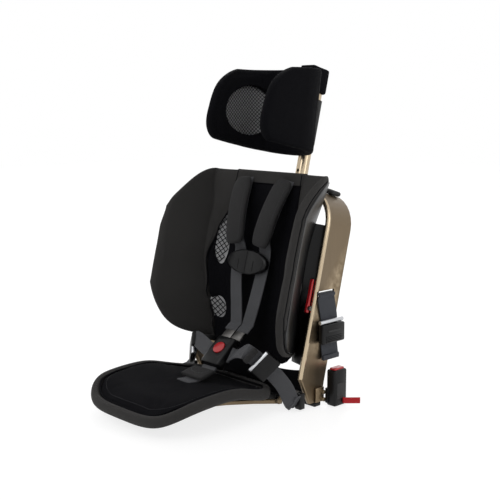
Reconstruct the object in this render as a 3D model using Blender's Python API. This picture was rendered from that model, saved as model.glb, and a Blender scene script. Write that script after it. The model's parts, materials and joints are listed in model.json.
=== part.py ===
"""Travel car seat: a leaning aluminium hoop that carries a padded back, a headrest on a pole,
a folding seat pan, a five point harness and two latch connectors.

Metres, +Z up, +Y to the rear, +X to the left hand of the child who sits in it.
The origin lies on the floor, in the middle under the base cross bar.
"""

import math

import bmesh
import bpy
from mathutils import Matrix, Vector

# Clearance between touching pieces, overrun of cuts, and roundness
GAP = 0.0003
OVERRUN = 0.002
CORNER_STEPS = 8
ROUND_SIDES = 20
SMALL_SIDES = 12

# Hoop frame
LEAN = math.radians(14.1)
HOOP_WIDTH = 0.312
HOOP_HEIGHT = 0.406
HOOP_CORNER_RADIUS = 0.065
HOOP_FRONT = 0.034
HOOP_REAR = 0.035
HOOP_WALL = 0.0045
HOOP_RECESS = 0.001
BEAD_RADIUS = 0.005
LEG_BOTTOM = 0.0085
LEG_BOTTOM_FRONT = 0.004
LEG_TAPER_HEIGHT = 0.046
FOOT_LENGTH = 0.0175
FOOT_LIP = 0.002

# Base cross bar
BASE_REAR = 0.044
BASE_DEPTH = 0.058
BASE_HALF_WIDTH = 0.088
BASE_HEIGHT = 0.016
BASE_BEVEL = 0.003

# Back: panel, wings and shell, on the leaning axes
BACK_BOTTOM = 0.060
BACK_TOP = 0.430
BACK_DEPTH = 0.040
ROOT_INBOARD = 0.026
ROOT_DEPTH = 0.064
WING_OVERHANG = 0.0235
WING_DEPTH = 0.152
WING_BULGE = 0.016
WING_BULGE_DEPTH = 0.038
WING_BOTTOM = 0.0875
WING_TOP_DROP = 0.105
WING_BOTTOM_RISE = 0.088
WING_TOP_POWER = 1.9
WING_BOTTOM_POWER = 5.8
WING_THICKNESS = 0.014
PANEL_THICKNESS = 0.012
SHELL_THICKNESS = 0.0035
CROWN_BLEND_START = 0.300
CROWN_BLEND_END = 0.376
PANEL_DEPTH_SHARES = ((0.0, -0.05), (0.16, 0.30), (0.5, 1.0), (1.0, 1.0))
ROOT_DEPTH_SHARES = ((0.0, 0.30), (0.16, 0.44), (0.36, 0.80), (0.56, 1.0), (0.86, 0.87), (1.0, 0.87))
ROOT_WIDTH_SHARES = ((0.0, 0.84), (0.16, 0.86), (0.5, 1.0), (0.75, 1.03), (1.0, 1.15))
PANEL_POWER = 4
BACK_COLUMNS = 12
BACK_ROWS = 12
WING_COLUMNS = 8
SHELL_INSET_SHARE = 0.4
EDGE_ROUND_SHARE = 0.42
EDGE_POWER = 8
VENT_HALF_WIDTH = 0.017
VENT_X = 0.102
VENT_UPPER_S = 0.294
VENT_UPPER_HALF_HEIGHT = 0.058
VENT_LOWER_S = 0.150
VENT_LOWER_HALF_HEIGHT = 0.022

# Side brackets between shell and hoop
BRACKET_BOTTOM = 0.078
BRACKET_DEPTH = 0.016

# Headrest pole and its guide
POLE_RADIUS = 0.0127
POLE_WALL = 0.0015
POLE_DEPTH = 0.0385
POLE_BOTTOM = 0.225
POLE_SHORTFALL = 0.008
POLE_HOLE_RADIUS = 0.003
POLE_HOLE_PITCH = 0.020
POLE_HOLE_COUNT = 5
POLE_FIRST_HOLE = 0.447
POLE_CLEARANCE = 0.0004
GUIDE_WALL = 0.003
GUIDE_BOTTOM = 0.190
COLLAR_HALF_WIDTH = 0.030
COLLAR_HEIGHT = 0.021
COLLAR_REAR = 0.064
COLLAR_BEVEL = 0.003
NOTCH_HALF_WIDTH = 0.019
GUIDE_FOOT_HEIGHT = 0.020
GUIDE_FOOT_HALF_WIDTH = 0.026
LOCK_BUTTON_RADIUS = 0.0075
LOCK_BUTTON_LENGTH = 0.009
LOCK_TRAVEL = 0.004

# Headrest
HEAD_LEAN = math.radians(8)
HEAD_SWEEP = math.radians(5.4)
HEAD_RISE = 0.067
HEAD_DEPTH = 0.0196
HEAD_HEIGHT = 0.1735
HEAD_RADIUS = 0.086
HEAD_THICKNESS = 0.016
HEAD_ARM = 0.108
HEAD_TIP_HALF_WIDTH = 0.080
HEAD_ROUND_SHARE = 0.6
HEAD_SLANT_SHARE = 0.27
HEAD_TOP_CORNER_SHARE = 0.42
HEAD_BOTTOM_CORNER_SHARE = 0.28
HEAD_SHELL_THICKNESS = 0.003
HEAD_LINER = 0.0015
HEAD_WINDOW_HALF_LENGTH = 0.060
HEAD_WINDOW_HALF_HEIGHT = 0.048
HEAD_WINDOW_REACH = 0.086
HEAD_WINDOW_UP = 0.082
HEAD_BRACKET_UP = 0.029
HEAD_BRACKET_HEIGHT = 0.090
HEAD_BRACKET_WALL = 0.003
HEAD_CAP_HEIGHT = 0.048
HEAD_CAP_WALL = 0.004
HEAD_CAP_RISE = 0.008

# Seat pan
SEAT_FRONT = 0.316
SEAT_REAR = 0.036
SEAT_HALF_WIDTH = 0.135
SEAT_RIM_HEIGHT = 0.052
SEAT_BORDER_WIDTH = 0.016
SEAT_BORDER_HEIGHT = 0.020
SEAT_SHELL_THICKNESS = 0.0035
SEAT_DISH = 0.015
SEAT_CROWN = 0.003
SEAT_WIDTH_SHARES = (
    (0.0, 0.40), (0.02, 0.60), (0.055, 0.76), (0.11, 0.90), (0.19, 0.985), (0.32, 1.0),
    (0.60, 1.0), (0.78, 0.975), (0.90, 0.90), (0.96, 0.80), (1.0, 0.66),
)
SEAT_HEIGHT_SHARES = (
    (0.0, 0.32), (0.05, 0.36), (0.18, 0.76), (0.34, 0.87), (0.48, 0.90), (0.60, 0.87),
    (0.74, 0.66), (0.87, 0.48), (1.0, 0.46),
)

# Seat rails and hinge
HINGE_Y = 0.010
HINGE_Z = 0.0235
RAIL_X = 0.098
RAIL_FRONT_X = 0.062
RAIL_WIDTH = 0.008
RAIL_HEIGHT = 0.008
RAIL_TOE = 0.018
RAIL_RISE_LENGTH = 0.042
RAIL_LENGTH = 0.200
HINGE_RADIUS = 0.0035
HINGE_HEAD_RADIUS = 0.006
HINGE_HEAD = 0.0025

# Fold levers
LEVER_S = 0.208
LEVER_LENGTH = 0.062
LEVER_WIDTH = 0.007
LEVER_THICKNESS = 0.0075
LEVER_INSET = 0.0045
LEVER_BASE_LENGTH = 0.017
LEVER_BASE_THICKNESS = 0.004
LEVER_PIN_RADIUS = 0.0025
LEVER_PIN_HEAD = 0.004

# Crown bumpers
BUMPER_INBOARD = 0.052
BUMPER_LENGTH = 0.030
BUMPER_DEPTH = 0.026
BUMPER_HEIGHT = 0.009
BUMPER_D = 0.018

# Webbing
WEB_THICKNESS = 0.0022
HARNESS_WIDTH = 0.030

# Shoulder pads and chest clip
PAD_WIDTH = 0.046
PAD_THICKNESS = 0.015
PAD_TOP_X = 0.056
PAD_TOP_S = 0.414
PAD_BOTTOM_X = 0.034
PAD_BOTTOM_S = 0.280
PAD_BOTTOM_DEPTH = 0.078
PAD_BULGE = 0.010
CLIP_S = 0.249
CLIP_DEPTH = 0.066
CLIP_HALF_WIDTH = 0.054
CLIP_HALF_HEIGHT = 0.024
CLIP_THICKNESS = 0.013
CLIP_TONGUE = 0.012
CLIP_TONGUE_HEIGHT = 0.010
CLIP_TONGUE_THICKNESS = 0.004

# Buckle, crotch webbing and pad
BUCKLE_Y = 0.075
BUCKLE_Z = 0.092
BUCKLE_PITCH = math.radians(40)
BUCKLE_WIDTH = 0.050
BUCKLE_LENGTH = 0.066
BUCKLE_THICKNESS = 0.022
BUCKLE_BEVEL = 0.006
BUTTON_RADIUS = 0.0125
BUTTON_HEIGHT = 0.006
BUTTON_TRAVEL = 0.003
BUTTON_UP_BUCKLE = 0.004
TONGUE_WIDTH = 0.024
TONGUE_LENGTH = 0.020
TONGUE_X = 0.0135
HARNESS_LOWER_X = 0.0165
TONGUE_THICKNESS = 0.004
CROTCH_Y = 0.150
CROTCH_WIDTH = 0.036
CROTCH_PAD_WIDTH = 0.056
CROTCH_PAD_THICKNESS = 0.007

# Hip webbing, adjusters and anchors
HIP_ROLL_PLACE = {"left": (0.098, -0.104, 0.119), "right": (-0.090, -0.058, 0.100)}
HIP_BAR_PLACE = {"left": (0.118, -0.089, 0.101), "right": (-0.106, -0.052, 0.084)}
HIP_TAIL_PLACE = {"left": (0.136, -0.050, 0.062), "right": (-0.124, -0.042, 0.060)}
HIP_WIDE = {"left": (0.44, 0.46, 0.77), "right": (-0.44, 0.46, 0.77)}
HIP_FOOT_Y = -0.022
HIP_FOOT_HEIGHT = 0.019
HIP_ANCHOR_LENGTH = 0.013
HIP_ANCHOR_WIDTH = 0.014
HIP_ANCHOR_HEIGHT = 0.030
HIP_ADJUSTER_LENGTH = 0.034
HIP_ADJUSTER_WIDTH = 0.048
HIP_ADJUSTER_THICKNESS = 0.010
HIP_BAR_RADIUS = 0.0035
HIP_FAN_SHARES = (0, 0.2, 1)

# Latch webbing, adjusters and connectors
LATCH_SLOT_Y = 0.047
LATCH_SLOT_Z = 0.213
LATCH_SLOT_HEIGHT = 0.010
LATCH_WEB_WIDTH = 0.044
LATCH_BAR_Y = 0.056
LATCH_BAR_Z = 0.160
ADJUSTER_WIDTH = 0.062
ADJUSTER_LENGTH = 0.036
ADJUSTER_THICKNESS = 0.012
ADJUSTER_BAR_RADIUS = 0.004
TAIL_LENGTH = 0.030
CONNECTOR_X = 0.1735
CONNECTOR_Y = 0.061
CONNECTOR_DEPTH = 0.034
CONNECTOR_WIDTH = 0.022
CONNECTOR_BOTTOM = 0.0005
CONNECTOR_TOP = 0.070
CONNECTOR_BEVEL = 0.004
RELEASE_LENGTH = 0.026
RELEASE_WIDTH = 0.014
RELEASE_HEIGHT = 0.006
RELEASE_TRAVEL = 0.003
JAW_HEIGHT = 0.014
JAW_WIDTH = 0.006
PULL_LENGTH = 0.030
PULL_WIDTH = 0.011
PULL_THICKNESS = 0.0025
PULL_ANGLE = math.radians(47)
LUG_THICKNESS = 0.004
LUG_HEIGHT = 0.036
LUG_FRONT = 0.020
LUG_REAR = 0.042
LUG_PIN_RADIUS = 0.004
LUG_PIN_SHARES = (0.18, 0.70)

# Directions and rows that follow from the sizes
POLE_TOP = HOOP_HEIGHT + HEAD_RISE + HEAD_HEIGHT - POLE_SHORTFALL
CROWN_DEPTH = HOOP_FRONT + PANEL_THICKNESS + SHELL_THICKNESS + 2 * GAP
LEG_X = HOOP_WIDTH / 2
ROOT_HALF_WIDTH = LEG_X - ROOT_INBOARD
WING_TIP_HALF_WIDTH = LEG_X + WING_OVERHANG
LEG_INNER_X = LEG_X - 2 * BEAD_RADIUS
SIDES = (("left", 1), ("right", -1))
ACROSS = Vector((1, 0, 0))
UP_LEAN = Vector((0, math.sin(LEAN), math.cos(LEAN)))
BACK_LEAN = Vector((0, math.cos(LEAN), -math.sin(LEAN)))

FINISHES = {
    "bronze": ((0.42, 0.33, 0.22), 0.32, 0.9),
    "knit": ((0.012, 0.012, 0.016), 0.95, 0.0),
    "wing_cloth": ((0.045, 0.044, 0.043), 0.8, 0.0),
    "pad_cloth": ((0.035, 0.035, 0.036), 0.85, 0.0),
    "webbing": ((0.06, 0.062, 0.07), 0.85, 0.0),
    "black_plastic": ((0.015, 0.015, 0.016), 0.5, 0.0),
    "silver": ((0.6, 0.6, 0.62), 0.35, 0.6),
    "red": ((0.55, 0.01, 0.02), 0.4, 0.0),
    "rubber": ((0.02, 0.02, 0.02), 0.9, 0.0),
    "steel": ((0.08, 0.08, 0.08), 0.4, 0.8),
}


def clear_scene():
    for obj in list(bpy.data.objects):
        bpy.data.objects.remove(obj, do_unlink=True)


def material(name):
    """The Principled material of a named finish, made once."""
    if name in bpy.data.materials:
        return bpy.data.materials[name]
    colour, roughness, metallic = FINISHES[name]
    made = bpy.data.materials.new(name)
    made.use_nodes = True
    shader = made.node_tree.nodes["Principled BSDF"]
    shader.inputs["Base Color"].default_value = (*colour, 1)
    shader.inputs["Roughness"].default_value = roughness
    shader.inputs["Metallic"].default_value = metallic
    return made


def add(name, bm, finish):
    """Turn a bmesh into a named object with its finish, faces out and round parts smooth."""
    bmesh.ops.recalc_face_normals(bm, faces=bm.faces)
    mesh = bpy.data.meshes.new(name)
    bm.to_mesh(mesh)
    bm.free()
    mesh.materials.append(material(finish))
    mesh.shade_smooth()
    mesh.set_sharp_from_angle(angle=math.radians(35))
    obj = bpy.data.objects.new(name, mesh)
    bpy.context.scene.collection.objects.link(obj)
    return obj


def hang(place, name, *objects):
    """Parent the pieces of a moving group to an empty on its joint's axis, and leave them where they are."""
    pivot = bpy.data.objects.new(name, None)
    pivot.location = place
    bpy.context.scene.collection.objects.link(pivot)
    for obj in objects:
        obj.parent = pivot
        obj.matrix_parent_inverse = Matrix.Translation(-Vector(place))


def cut(obj, cutter):
    """Take the cutter's shape out of the piece."""
    cutter.hide_render = True
    cutter.display_type = "WIRE"
    boolean = obj.modifiers.new("cut_" + cutter.name, "BOOLEAN")
    boolean.operation = "DIFFERENCE"
    boolean.object = cutter


def join(obj, other):
    """Fuse another shape into the piece, as one moulding or weldment."""
    other.hide_render = True
    other.display_type = "WIRE"
    boolean = obj.modifiers.new("join_" + other.name, "BOOLEAN")
    boolean.operation = "UNION"
    boolean.object = other


def tilt(x, d, s):
    """World place of a point on the leaning axes: across, behind the hoop's middle, and up along the hoop."""
    return ACROSS * x + BACK_LEAN * d + UP_LEAN * s


def smooth_step(value, low, high):
    share = min(max((value - low) / (high - low), 0), 1)
    return share * share * (3 - 2 * share)


def shares_at(rows, place):
    """Read a table of (place, share) rows at a place between them, along one smooth curve."""
    place = min(max(place, rows[0][0]), rows[-1][0])
    index = max(i for i, row in enumerate(rows[:-1]) if row[0] <= place)

    def slope(i):
        low, high = max(i - 1, 0), min(i + 1, len(rows) - 1)
        return (rows[high][1] - rows[low][1]) / (rows[high][0] - rows[low][0])

    (low, first), (high, last) = rows[index], rows[index + 1]
    span = high - low
    t = (place - low) / span
    rise = (last - first) * t * t * (3 - 2 * t)
    bend = span * (slope(index) * t * (1 - t) ** 2 - slope(index + 1) * t * t * (1 - t))
    return first + rise + bend


def loft(bm, rings, closed=False):
    """Skin a run of equal rings. A closed run joins its last ring to its first, an open one has two caps."""
    loops = [[bm.verts.new(point) for point in ring] for ring in rings]
    pairs = list(zip(loops, loops[1:]))
    if closed:
        pairs.append((loops[-1], loops[0]))
    for low, high in pairs:
        for i in range(len(low)):
            j = (i + 1) % len(low)
            bm.faces.new((low[i], low[j], high[j], high[i]))
    if not closed:
        bm.faces.new(loops[0][::-1])
        bm.faces.new(loops[-1])


def slab(bm, front, back):
    """Close two equal grids of points into one solid of flat facets with a rim between them."""
    grids = [[[bm.verts.new(point) for point in row] for row in grid] for grid in (front, back)]
    rows, columns = len(front), len(front[0])
    for grid in grids:
        for i in range(rows - 1):
            for j in range(columns - 1):
                bm.faces.new((grid[i][j], grid[i][j + 1], grid[i + 1][j + 1]))
                bm.faces.new((grid[i][j], grid[i + 1][j + 1], grid[i + 1][j]))
    edge = [(0, j) for j in range(columns)] + [(i, columns - 1) for i in range(1, rows)]
    edge += [(rows - 1, j) for j in reversed(range(columns - 1))] + [(i, 0) for i in reversed(range(1, rows - 1))]
    for (i, j), (k, l) in zip(edge, edge[1:] + edge[:1]):
        bm.faces.new((grids[0][i][j], grids[0][k][l], grids[1][k][l], grids[1][i][j]))


def section(width, height, corner_share=0.3):
    """Points of a rectangle with its corners cut, round its middle."""
    a, b = width / 2, height / 2
    c = min(a, b) * corner_share
    return ((a, c - b), (a, b - c), (a - c, b), (c - a, b), (-a, b - c), (-a, c - b), (c - a, -b), (a - c, -b))


def directions(points):
    """Unit tangent at each point of a run."""
    last = len(points) - 1
    return [(points[min(i + 1, last)] - points[max(i - 1, 0)]).normalized() for i in range(last + 1)]


def sweep(points, profile, across):
    """Rings of a profile along a run of points, its first axis kept across."""
    rings = []
    for point, along in zip(points, directions(points)):
        wide = (across - along * across.dot(along)).normalized()
        thick = along.cross(wide)
        rings.append([point + wide * a + thick * b for a, b in profile])
    return rings


def smooth_run(points, steps=4):
    """Points on one smooth curve through the given ones."""
    run = []
    for i in range(len(points) - 1):
        before, start = points[max(i - 1, 0)], points[i]
        end, after = points[i + 1], points[min(i + 2, len(points) - 1)]
        for k in range(steps):
            t = k / steps
            span = (end - start).length
            pull_start = (end - before) * span / (span + (start - before).length)
            pull_end = (after - start) * span / (span + (after - end).length)
            run.append(
                start * (2 * t**3 - 3 * t * t + 1) + pull_start * (t**3 - 2 * t * t + t)
                + end * (3 * t * t - 2 * t**3) + pull_end * (t**3 - t * t)
            )
    return run + [points[-1]]


def strap(name, points, width, thickness, across=ACROSS, finish="webbing"):
    """Flat webbing along a smooth run through the points."""
    bm = bmesh.new()
    loft(bm, sweep(smooth_run(points), section(width, thickness), across))
    return add(name, bm, finish)


def turned(direction, across=ACROSS):
    """Rotation whose third axis lies along a direction and whose first stays across."""
    up = direction.normalized()
    first = (across - up * across.dot(up)).normalized()
    return Matrix((first, up.cross(first), up)).transposed().to_4x4()


def rod(name, start, end, radius, finish, sides=ROUND_SIDES, top_radius=None):
    """Round bar, or cone, from one point to another."""
    along = end - start
    across = ACROSS if abs(along.normalized().x) < 0.9 else Vector((0, 1, 0))
    place = Matrix.Translation((start + end) / 2) @ turned(along, across)
    bm = bmesh.new()
    bmesh.ops.create_cone(
        bm, cap_ends=True, segments=sides, radius1=radius, depth=along.length, matrix=place,
        radius2=radius if top_radius is None else top_radius,
    )
    return add(name, bm, finish)


def block(name, centre, size, finish, turn=None, bevel=0, steps=2, round_share=0.5):
    """Block of a size about its centre, turned by a rotation matrix, with its edges rounded."""
    bm = bmesh.new()
    bmesh.ops.create_cube(bm, size=1)
    bmesh.ops.scale(bm, vec=size, verts=bm.verts)
    if bevel:
        bmesh.ops.bevel(
            bm, geom=bm.edges, offset=bevel, segments=steps, profile=round_share, affect="EDGES", material=-1
        )
    place = Matrix.Translation(centre) @ (turn if turn else Matrix.Identity(4))
    bmesh.ops.transform(bm, matrix=place, verts=bm.verts)
    return add(name, bm, finish)


def lean_turn():
    """Rotation from the world's axes to the leaning ones."""
    return Matrix((ACROSS, BACK_LEAN, UP_LEAN)).transposed().to_4x4()


def lean_block(name, low, high, finish, bevel=0):
    """Block between two corners given on the leaning axes."""
    middle = [(a + b) / 2 for a, b in zip(low, high)]
    size = [b - a for a, b in zip(low, high)]
    return block(name, tilt(*middle), size, finish, lean_turn(), bevel)


def hoop_profile():
    """Section of the hoop's band: (outward, rearward) points from the rear edge round the front bead."""
    outer, inner = -HOOP_RECESS, -HOOP_RECESS - HOOP_WALL
    edge = HOOP_WALL / 3
    points = [(outer, HOOP_REAR - edge), (outer - edge, HOOP_REAR), (inner + edge, HOOP_REAR)]
    points.append((inner, HOOP_REAR - edge))
    centre = BEAD_RADIUS - HOOP_FRONT
    start = -math.acos((HOOP_RECESS + HOOP_WALL - BEAD_RADIUS) / BEAD_RADIUS)
    end = math.pi + math.acos(1 - HOOP_RECESS / BEAD_RADIUS)
    for angle in even(start, end, CORNER_STEPS):
        points.append((-BEAD_RADIUS - BEAD_RADIUS * math.cos(angle), centre - BEAD_RADIUS * math.sin(angle)))
    return points


def leg_station(side, s, profile):
    """Ring of the band at a height on one leg, cut level and drawn in at the floor end."""
    share = min(max((s - LEG_BOTTOM) / LEG_TAPER_HEIGHT, 0), 1)
    front = LEG_BOTTOM_FRONT + (-HOOP_FRONT - LEG_BOTTOM_FRONT) * share
    ring = []
    for out, d in profile:
        kept = HOOP_REAR - (HOOP_REAR - d) * (HOOP_REAR - front) / (HOOP_REAR + HOOP_FRONT)
        level = s if share else (LEG_BOTTOM + kept * math.sin(LEAN)) / math.cos(LEAN)
        ring.append(tilt(side * (LEG_X + out), kept, level))
    return ring


def make_hoop():
    """The bent band with its front bead, a notch for the pole guide and a webbing slot in each leg."""
    profile = hoop_profile()
    springing = HOOP_HEIGHT - HOOP_CORNER_RADIUS
    heights = (LEG_BOTTOM, LEG_BOTTOM + LEG_TAPER_HEIGHT, springing / 2, springing)
    rings = [leg_station(1, s, profile) for s in heights]
    for side in (1, -1):
        for step in range(1, CORNER_STEPS + 1):
            turn = math.pi / 2 * step / CORNER_STEPS
            angle = turn if side > 0 else math.pi / 2 - turn
            out_x, out_s = math.cos(angle), math.sin(angle)
            centre_x = LEG_X - HOOP_CORNER_RADIUS
            rings.append([
                tilt(side * (centre_x + (HOOP_CORNER_RADIUS + out) * out_x), d,
                     springing + (HOOP_CORNER_RADIUS + out) * out_s)
                for out, d in profile
            ])
        if side > 0:
            mirrored = [[Vector((-p.x, p.y, p.z)) for p in rings[-1]]]
            rings += mirrored
    rings += [leg_station(-1, s, profile) for s in reversed(heights[:-1])]
    bm = bmesh.new()
    loft(bm, rings)
    hoop = add("hoop_frame", bm, "bronze")
    notch = lean_block(
        "cut_notch", (-NOTCH_HALF_WIDTH, POLE_DEPTH - NOTCH_HALF_WIDTH, HOOP_HEIGHT - HOOP_CORNER_RADIUS),
        (NOTCH_HALF_WIDTH, HOOP_REAR + OVERRUN, HOOP_HEIGHT + OVERRUN), "bronze",
    )
    cut(hoop, notch)
    for name, side in SIDES:
        slot = block(
            "cut_slot_" + name, Vector((side * LEG_X, LATCH_SLOT_Y, LATCH_SLOT_Z)),
            (4 * BEAD_RADIUS, LATCH_WEB_WIDTH + 2 * WEB_THICKNESS, LATCH_SLOT_HEIGHT), "bronze",
        )
        cut(hoop, slot)


def make_base():
    """Moulded base: a block over the origin and a thin foot plate that runs under both legs."""
    front = BASE_REAR - BASE_DEPTH
    base = block("base_cross_bar", Vector((0, (BASE_REAR + front) / 2, BASE_HEIGHT / 2)),
                 (2 * BASE_HALF_WIDTH, BASE_DEPTH, BASE_HEIGHT), "black_plastic", bevel=BASE_BEVEL)
    rear = tilt(0, HOOP_REAR, LEG_BOTTOM).y
    plate = block("join_foot_plate", Vector((0, rear - FOOT_LENGTH / 2, (LEG_BOTTOM - GAP) / 2)),
                  (HOOP_WIDTH + FOOT_LIP, FOOT_LENGTH, LEG_BOTTOM - GAP), "black_plastic",
                  bevel=BASE_BEVEL / 2, steps=1)
    join(base, plate)


def height_share(s):
    return (s - BACK_BOTTOM) / (BACK_TOP - BACK_BOTTOM)


def panel_depth(s):
    """How far the middle of the back lies behind (+) or before (-) the hoop's middle."""
    plain = BACK_DEPTH * shares_at(PANEL_DEPTH_SHARES, height_share(s))
    crown = smooth_step(s, CROWN_BLEND_START, CROWN_BLEND_END)
    return -plain - (CROWN_DEPTH - plain) * crown


def bed(a, s):
    """Front face of the back at a height: a runs over 0 in the middle, 1 at a wing's root and 2 at its edge.

    Gives the place across and in depth, and the direction across and in depth that points behind it.
    """
    side, r = (1 if a >= 0 else -1), abs(a)
    x0 = ROOT_HALF_WIDTH * shares_at(ROOT_WIDTH_SHARES, height_share(s))
    d0 = -ROOT_DEPTH * shares_at(ROOT_DEPTH_SHARES, height_share(s))
    if r <= 1:
        return side * r * x0, panel_depth(s) + (d0 - panel_depth(s)) * r**PANEL_POWER, 0, 1
    t = r - 1
    x1, d1 = x0 + WING_BULGE, d0 - WING_BULGE_DEPTH
    x2, d2 = WING_TIP_HALF_WIDTH, -WING_DEPTH
    x = (1 - t) ** 2 * x0 + 2 * t * (1 - t) * x1 + t * t * x2
    d = (1 - t) ** 2 * d0 + 2 * t * (1 - t) * d1 + t * t * d2
    out = Vector((d1 - d2, x2 - x1)).normalized() * t + Vector((0, 1)) * (1 - t)
    out.normalize()
    return side * x, d, side * out.x, out.y


def bed_point(a, v, depth):
    """Point behind the front face of the back; v runs from its bottom edge to its top edge."""
    r = abs(a)
    if r <= 1:
        low, high = BACK_BOTTOM + (WING_BOTTOM - BACK_BOTTOM) * r**PANEL_POWER, BACK_TOP
    else:
        low = WING_BOTTOM + WING_BOTTOM_RISE * (r - 1) ** WING_BOTTOM_POWER
        high = BACK_TOP - WING_TOP_DROP * (r - 1) ** WING_TOP_POWER
    s = low + (high - low) * v
    x, d, out_x, out_d = bed(a, s)
    return tilt(x + out_x * depth, d + out_d * depth, s)


def pad_thickness(a):
    return PANEL_THICKNESS + (WING_THICKNESS - PANEL_THICKNESS) * smooth_step(abs(a), 1, 1.25)


def even(low, high, count):
    return [low + (high - low) * i / count for i in range(count + 1)]


def padded_grids(columns, rows):
    """Front and back of a padded piece of the back, drawn in towards its free edges."""
    front, back = [], []
    for a in columns:
        free = max(abs(a) - 1, 0) ** EDGE_POWER
        thick = pad_thickness(a)
        fill = [EDGE_ROUND_SHARE + (1 - EDGE_ROUND_SHARE) * (1 - free) * (1 - abs(2 * v - 1) ** EDGE_POWER)
                for v in rows]
        front.append([bed_point(a, v, thick * (1 - share) / 2) for v, share in zip(rows, fill)])
        back.append([bed_point(a, v, thick * (1 + share) / 2) for v, share in zip(rows, fill)])
    return front, back


def vent_cutters():
    """Four upright oval cutters through the panel, two on each side of the middle."""
    cutters = []
    for side_name, side in SIDES:
        for level, s, half in (("upper", VENT_UPPER_S, VENT_UPPER_HALF_HEIGHT),
                               ("lower", VENT_LOWER_S, VENT_LOWER_HALF_HEIGHT)):
            start = tilt(side * VENT_X, -BACK_DEPTH - ROOT_DEPTH, s)
            end = tilt(side * VENT_X, HOOP_REAR, s)
            cutter = rod(f"cut_{level}_{side_name}", start, end, half, "knit")
            squeeze = Matrix.Diagonal((VENT_HALF_WIDTH / half, 1, 1, 1))
            centre = Matrix.Translation((side * VENT_X, 0, 0))
            cutter.data.transform(centre @ squeeze @ centre.inverted())
            cutters.append(cutter)
    return cutters


def make_back():
    """Panel and wings, and the thin shell that carries them, all on the same columns and rows."""
    rows = even(0, 1, BACK_ROWS)
    wing = even(1, 2, WING_COLUMNS)
    edge = 1 - GAP / ROOT_HALF_WIDTH
    bm = bmesh.new()
    slab(bm, *padded_grids(even(-edge, edge, BACK_COLUMNS), rows))
    panel = add("back_panel", bm, "knit")
    for name, side in SIDES:
        bm = bmesh.new()
        slab(bm, *padded_grids([side * a for a in wing], rows))
        add("wing_pad_" + name, bm, "wing_cloth")
    columns = [-a for a in reversed(wing[1:-1])] + even(-1, 1, BACK_COLUMNS) + wing[1:-1]
    inner_rows = [rows[1] * SHELL_INSET_SHARE] + rows[1:-1] + [1 - rows[1] * SHELL_INSET_SHARE]
    bm = bmesh.new()
    slab(bm, *[[[bed_point(a, v, pad_thickness(a) + GAP + extra) for v in inner_rows] for a in columns]
               for extra in (0, SHELL_THICKNESS)])
    add("back_shell", bm, "black_plastic")
    for cutter in vent_cutters():
        cut(panel, cutter)


def make_shell_brackets():
    """Upright plastic brackets that join the shell to the inside of each leg."""
    leg = LEG_X - HOOP_RECESS - HOOP_WALL - GAP
    front = 2 * BEAD_RADIUS - HOOP_FRONT + GAP
    reach_share = 1 - 2 / BACK_COLUMNS
    for name, side in SIDES:
        rings = []
        for s in even(BRACKET_BOTTOM, HOOP_HEIGHT - HOOP_CORNER_RADIUS - GAP, 10):
            ring = []
            for share in (reach_share, 1):
                x, d, _, _ = bed(side * share, s)
                ring.append(tilt(x, d + PANEL_THICKNESS + SHELL_THICKNESS + 4 * GAP, s))
            near, near_d, _, _ = bed(side * reach_share, s)
            behind = near_d + PANEL_THICKNESS + 2 * SHELL_THICKNESS
            ring.append(tilt(side * (LEG_INNER_X - GAP), front, s))
            ring += [tilt(side * leg, front, s), tilt(side * leg, front + BRACKET_DEPTH, s)]
            ring.append(tilt(near, max(front + BRACKET_DEPTH, behind), s))
            rings.append(ring)
        bm = bmesh.new()
        loft(bm, rings)
        bracket = add("shell_bracket_" + name, bm, "black_plastic")
        cut(bracket, block(
            "cut_bracket_" + name, Vector((side * leg, LATCH_SLOT_Y, LATCH_SLOT_Z)),
            (4 * BEAD_RADIUS, LATCH_WEB_WIDTH + 4 * WEB_THICKNESS, 2 * LATCH_SLOT_HEIGHT), "black_plastic",
        ))
        foot = LEVER_S - LEVER_LENGTH / 2
        near, far = sorted((side * (LEG_INNER_X - LEVER_INSET - LEVER_BASE_THICKNESS - GAP), side * leg))
        cut(bracket, lean_block(
            "cut_bracket_mount_" + name, (near, -HOOP_FRONT - LEVER_THICKNESS, foot - GAP),
            (far, BEAD_RADIUS - HOOP_FRONT + GAP, foot + LEVER_BASE_LENGTH + GAP), "black_plastic",
        ))


def tube(name, start, end, outer, inner, finish):
    """Round tube with open ends, as one closed wall."""
    along = (end - start).normalized()
    turn = turned(along)
    rings = []
    for centre, radius in ((start, inner), (start, outer), (end, outer), (end, inner)):
        rings.append([
            centre + turn @ (Vector((math.cos(angle), math.sin(angle), 0)) * radius)
            for angle in even(0, 2 * math.pi, ROUND_SIDES)[:-1]
        ])
    bm = bmesh.new()
    loft(bm, rings, closed=True)
    return add(name, bm, finish)


def stepped_bar(name, start, direction, finish, steps):
    """Round bar turned to (distance, radius) steps along a direction."""
    turn = turned(direction, ACROSS if abs(direction.normalized().x) < 0.9 else UP_LEAN)
    rings = []
    for distance, radius in steps:
        centre = start + direction.normalized() * distance
        rings.append([
            centre + turn @ (Vector((math.cos(angle), math.sin(angle), 0)) * radius)
            for angle in even(0, 2 * math.pi, SMALL_SIDES)[:-1]
        ])
    bm = bmesh.new()
    loft(bm, rings)
    return add(name, bm, finish)


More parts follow.
